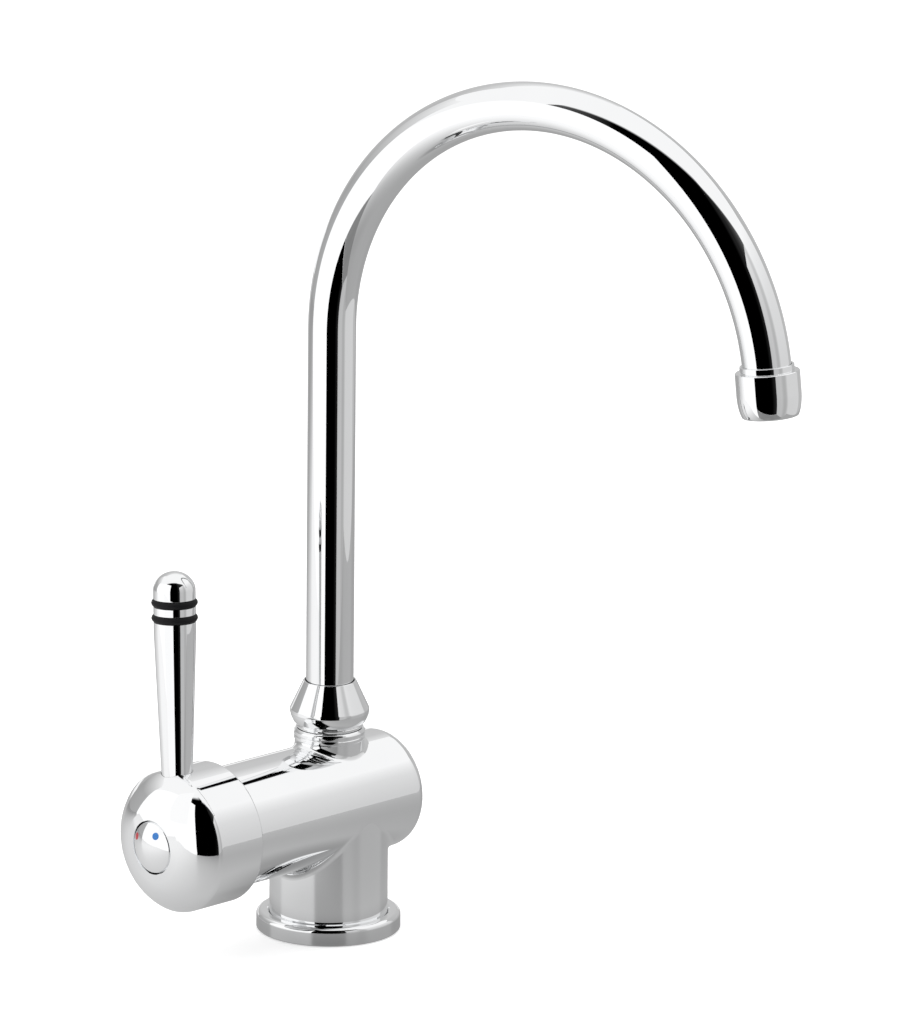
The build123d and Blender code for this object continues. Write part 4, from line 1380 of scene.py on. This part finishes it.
    def _apron(self) -> None:
        """Makes the darker floor in front of the table."""
        apron = self._plate("studio_apron", self.apron_across, self.apron_towards, ROOM_FLOOR)
        tree = ShaderTree("apron_paint")
        glow = tree.node("ShaderNodeEmission")
        tree.link(tree.ranged(tree.noise(*self.apron_cloud), *self.apron_glow), glow.inputs["Strength"])
        tree.link(glow.outputs["Emission"], tree.output.inputs["Surface"])
        apron.data.materials.append(tree.material)
        LOG.info("apron")

    def _plate(self, name: str, across: Point, towards: Point, level: float) -> bpy.types.Object:
        """Lays a level plate that only reflections see.

        Args:
            name: Name of the plate.
            across: Its ends to the camera's left and right, in metres.
            towards: Its ends away from and towards the camera.
            level: Height at which it lies.

        Returns:
            The plate's object.
        """
        left_back = ground_to_frame(across[0], towards[0])
        right_back = ground_to_frame(across[1], towards[0])
        left_front = ground_to_frame(across[0], towards[1])
        middle = (right_back + left_front) / 2 + Vector((0, 0, level))
        return reflector(name, right_back - left_back, left_back - left_front, middle)


@dataclass(frozen=True)
class Camera:
    """The camera at the photograph's place, in degrees, metres and pixels, with its sensor in millimetres."""

    azimuth: float = -45.0
    elevation: float = 14.6797
    roll: float = 0.588024
    distance: float = 3.257218
    focal_pixels: float = 8802.86
    picture_height: int = 1030
    sensor_height: float = 36.0
    clip_end: float = 50.0
    target: Triple = (0.0, -0.0686055, 0.1746011)

    def build(self) -> None:
        """Makes the camera and sets it as the scene's."""
        turn, tilt, roll = (math.radians(angle) for angle in (self.azimuth, self.elevation, self.roll))
        back = Vector((math.sin(turn) * math.cos(tilt), -math.cos(turn) * math.cos(tilt), math.sin(tilt)))
        level = Vector((math.cos(turn), math.sin(turn), 0))
        raised = back.cross(level)
        right = level * math.cos(roll) + raised * math.sin(roll)
        up = -level * math.sin(roll) + raised * math.cos(roll)
        data = bpy.data.cameras.new("studio_camera")
        data.sensor_fit = "VERTICAL"
        data.sensor_height = self.sensor_height
        data.lens = self.focal_pixels * data.sensor_height / self.picture_height
        data.clip_end = self.clip_end
        camera = bpy.data.objects.new("studio_camera", data)
        bpy.context.scene.collection.objects.link(camera)
        place = Matrix.Identity(4)
        for row in range(3):
            place[row][0], place[row][1], place[row][2] = right[row], up[row], back[row]
            place[row][3] = self.target[row] + back[row] * self.distance
        camera.matrix_world = place
        bpy.context.scene.camera = camera
        LOG.info("camera")


def main() -> None:
    """Builds the scene."""
    logging.basicConfig(level=logging.INFO, format="%(name)s: %(message)s")
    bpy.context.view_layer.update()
    scene = bpy.context.scene
    scene.view_settings.view_transform = "Standard"
    Camera().build()
    Studio().build()
    dress_frame()
    collar, spout = Collar(), Spout()
    for assembly in (
        Base(),
        collar,
        Trim(collar),
        Wiper(collar),
        spout,
        Outlet(spout.outlet_place),
        Lever(),
        Button(),
    ):
        assembly.build()


if __name__ == "__main__":
    main()
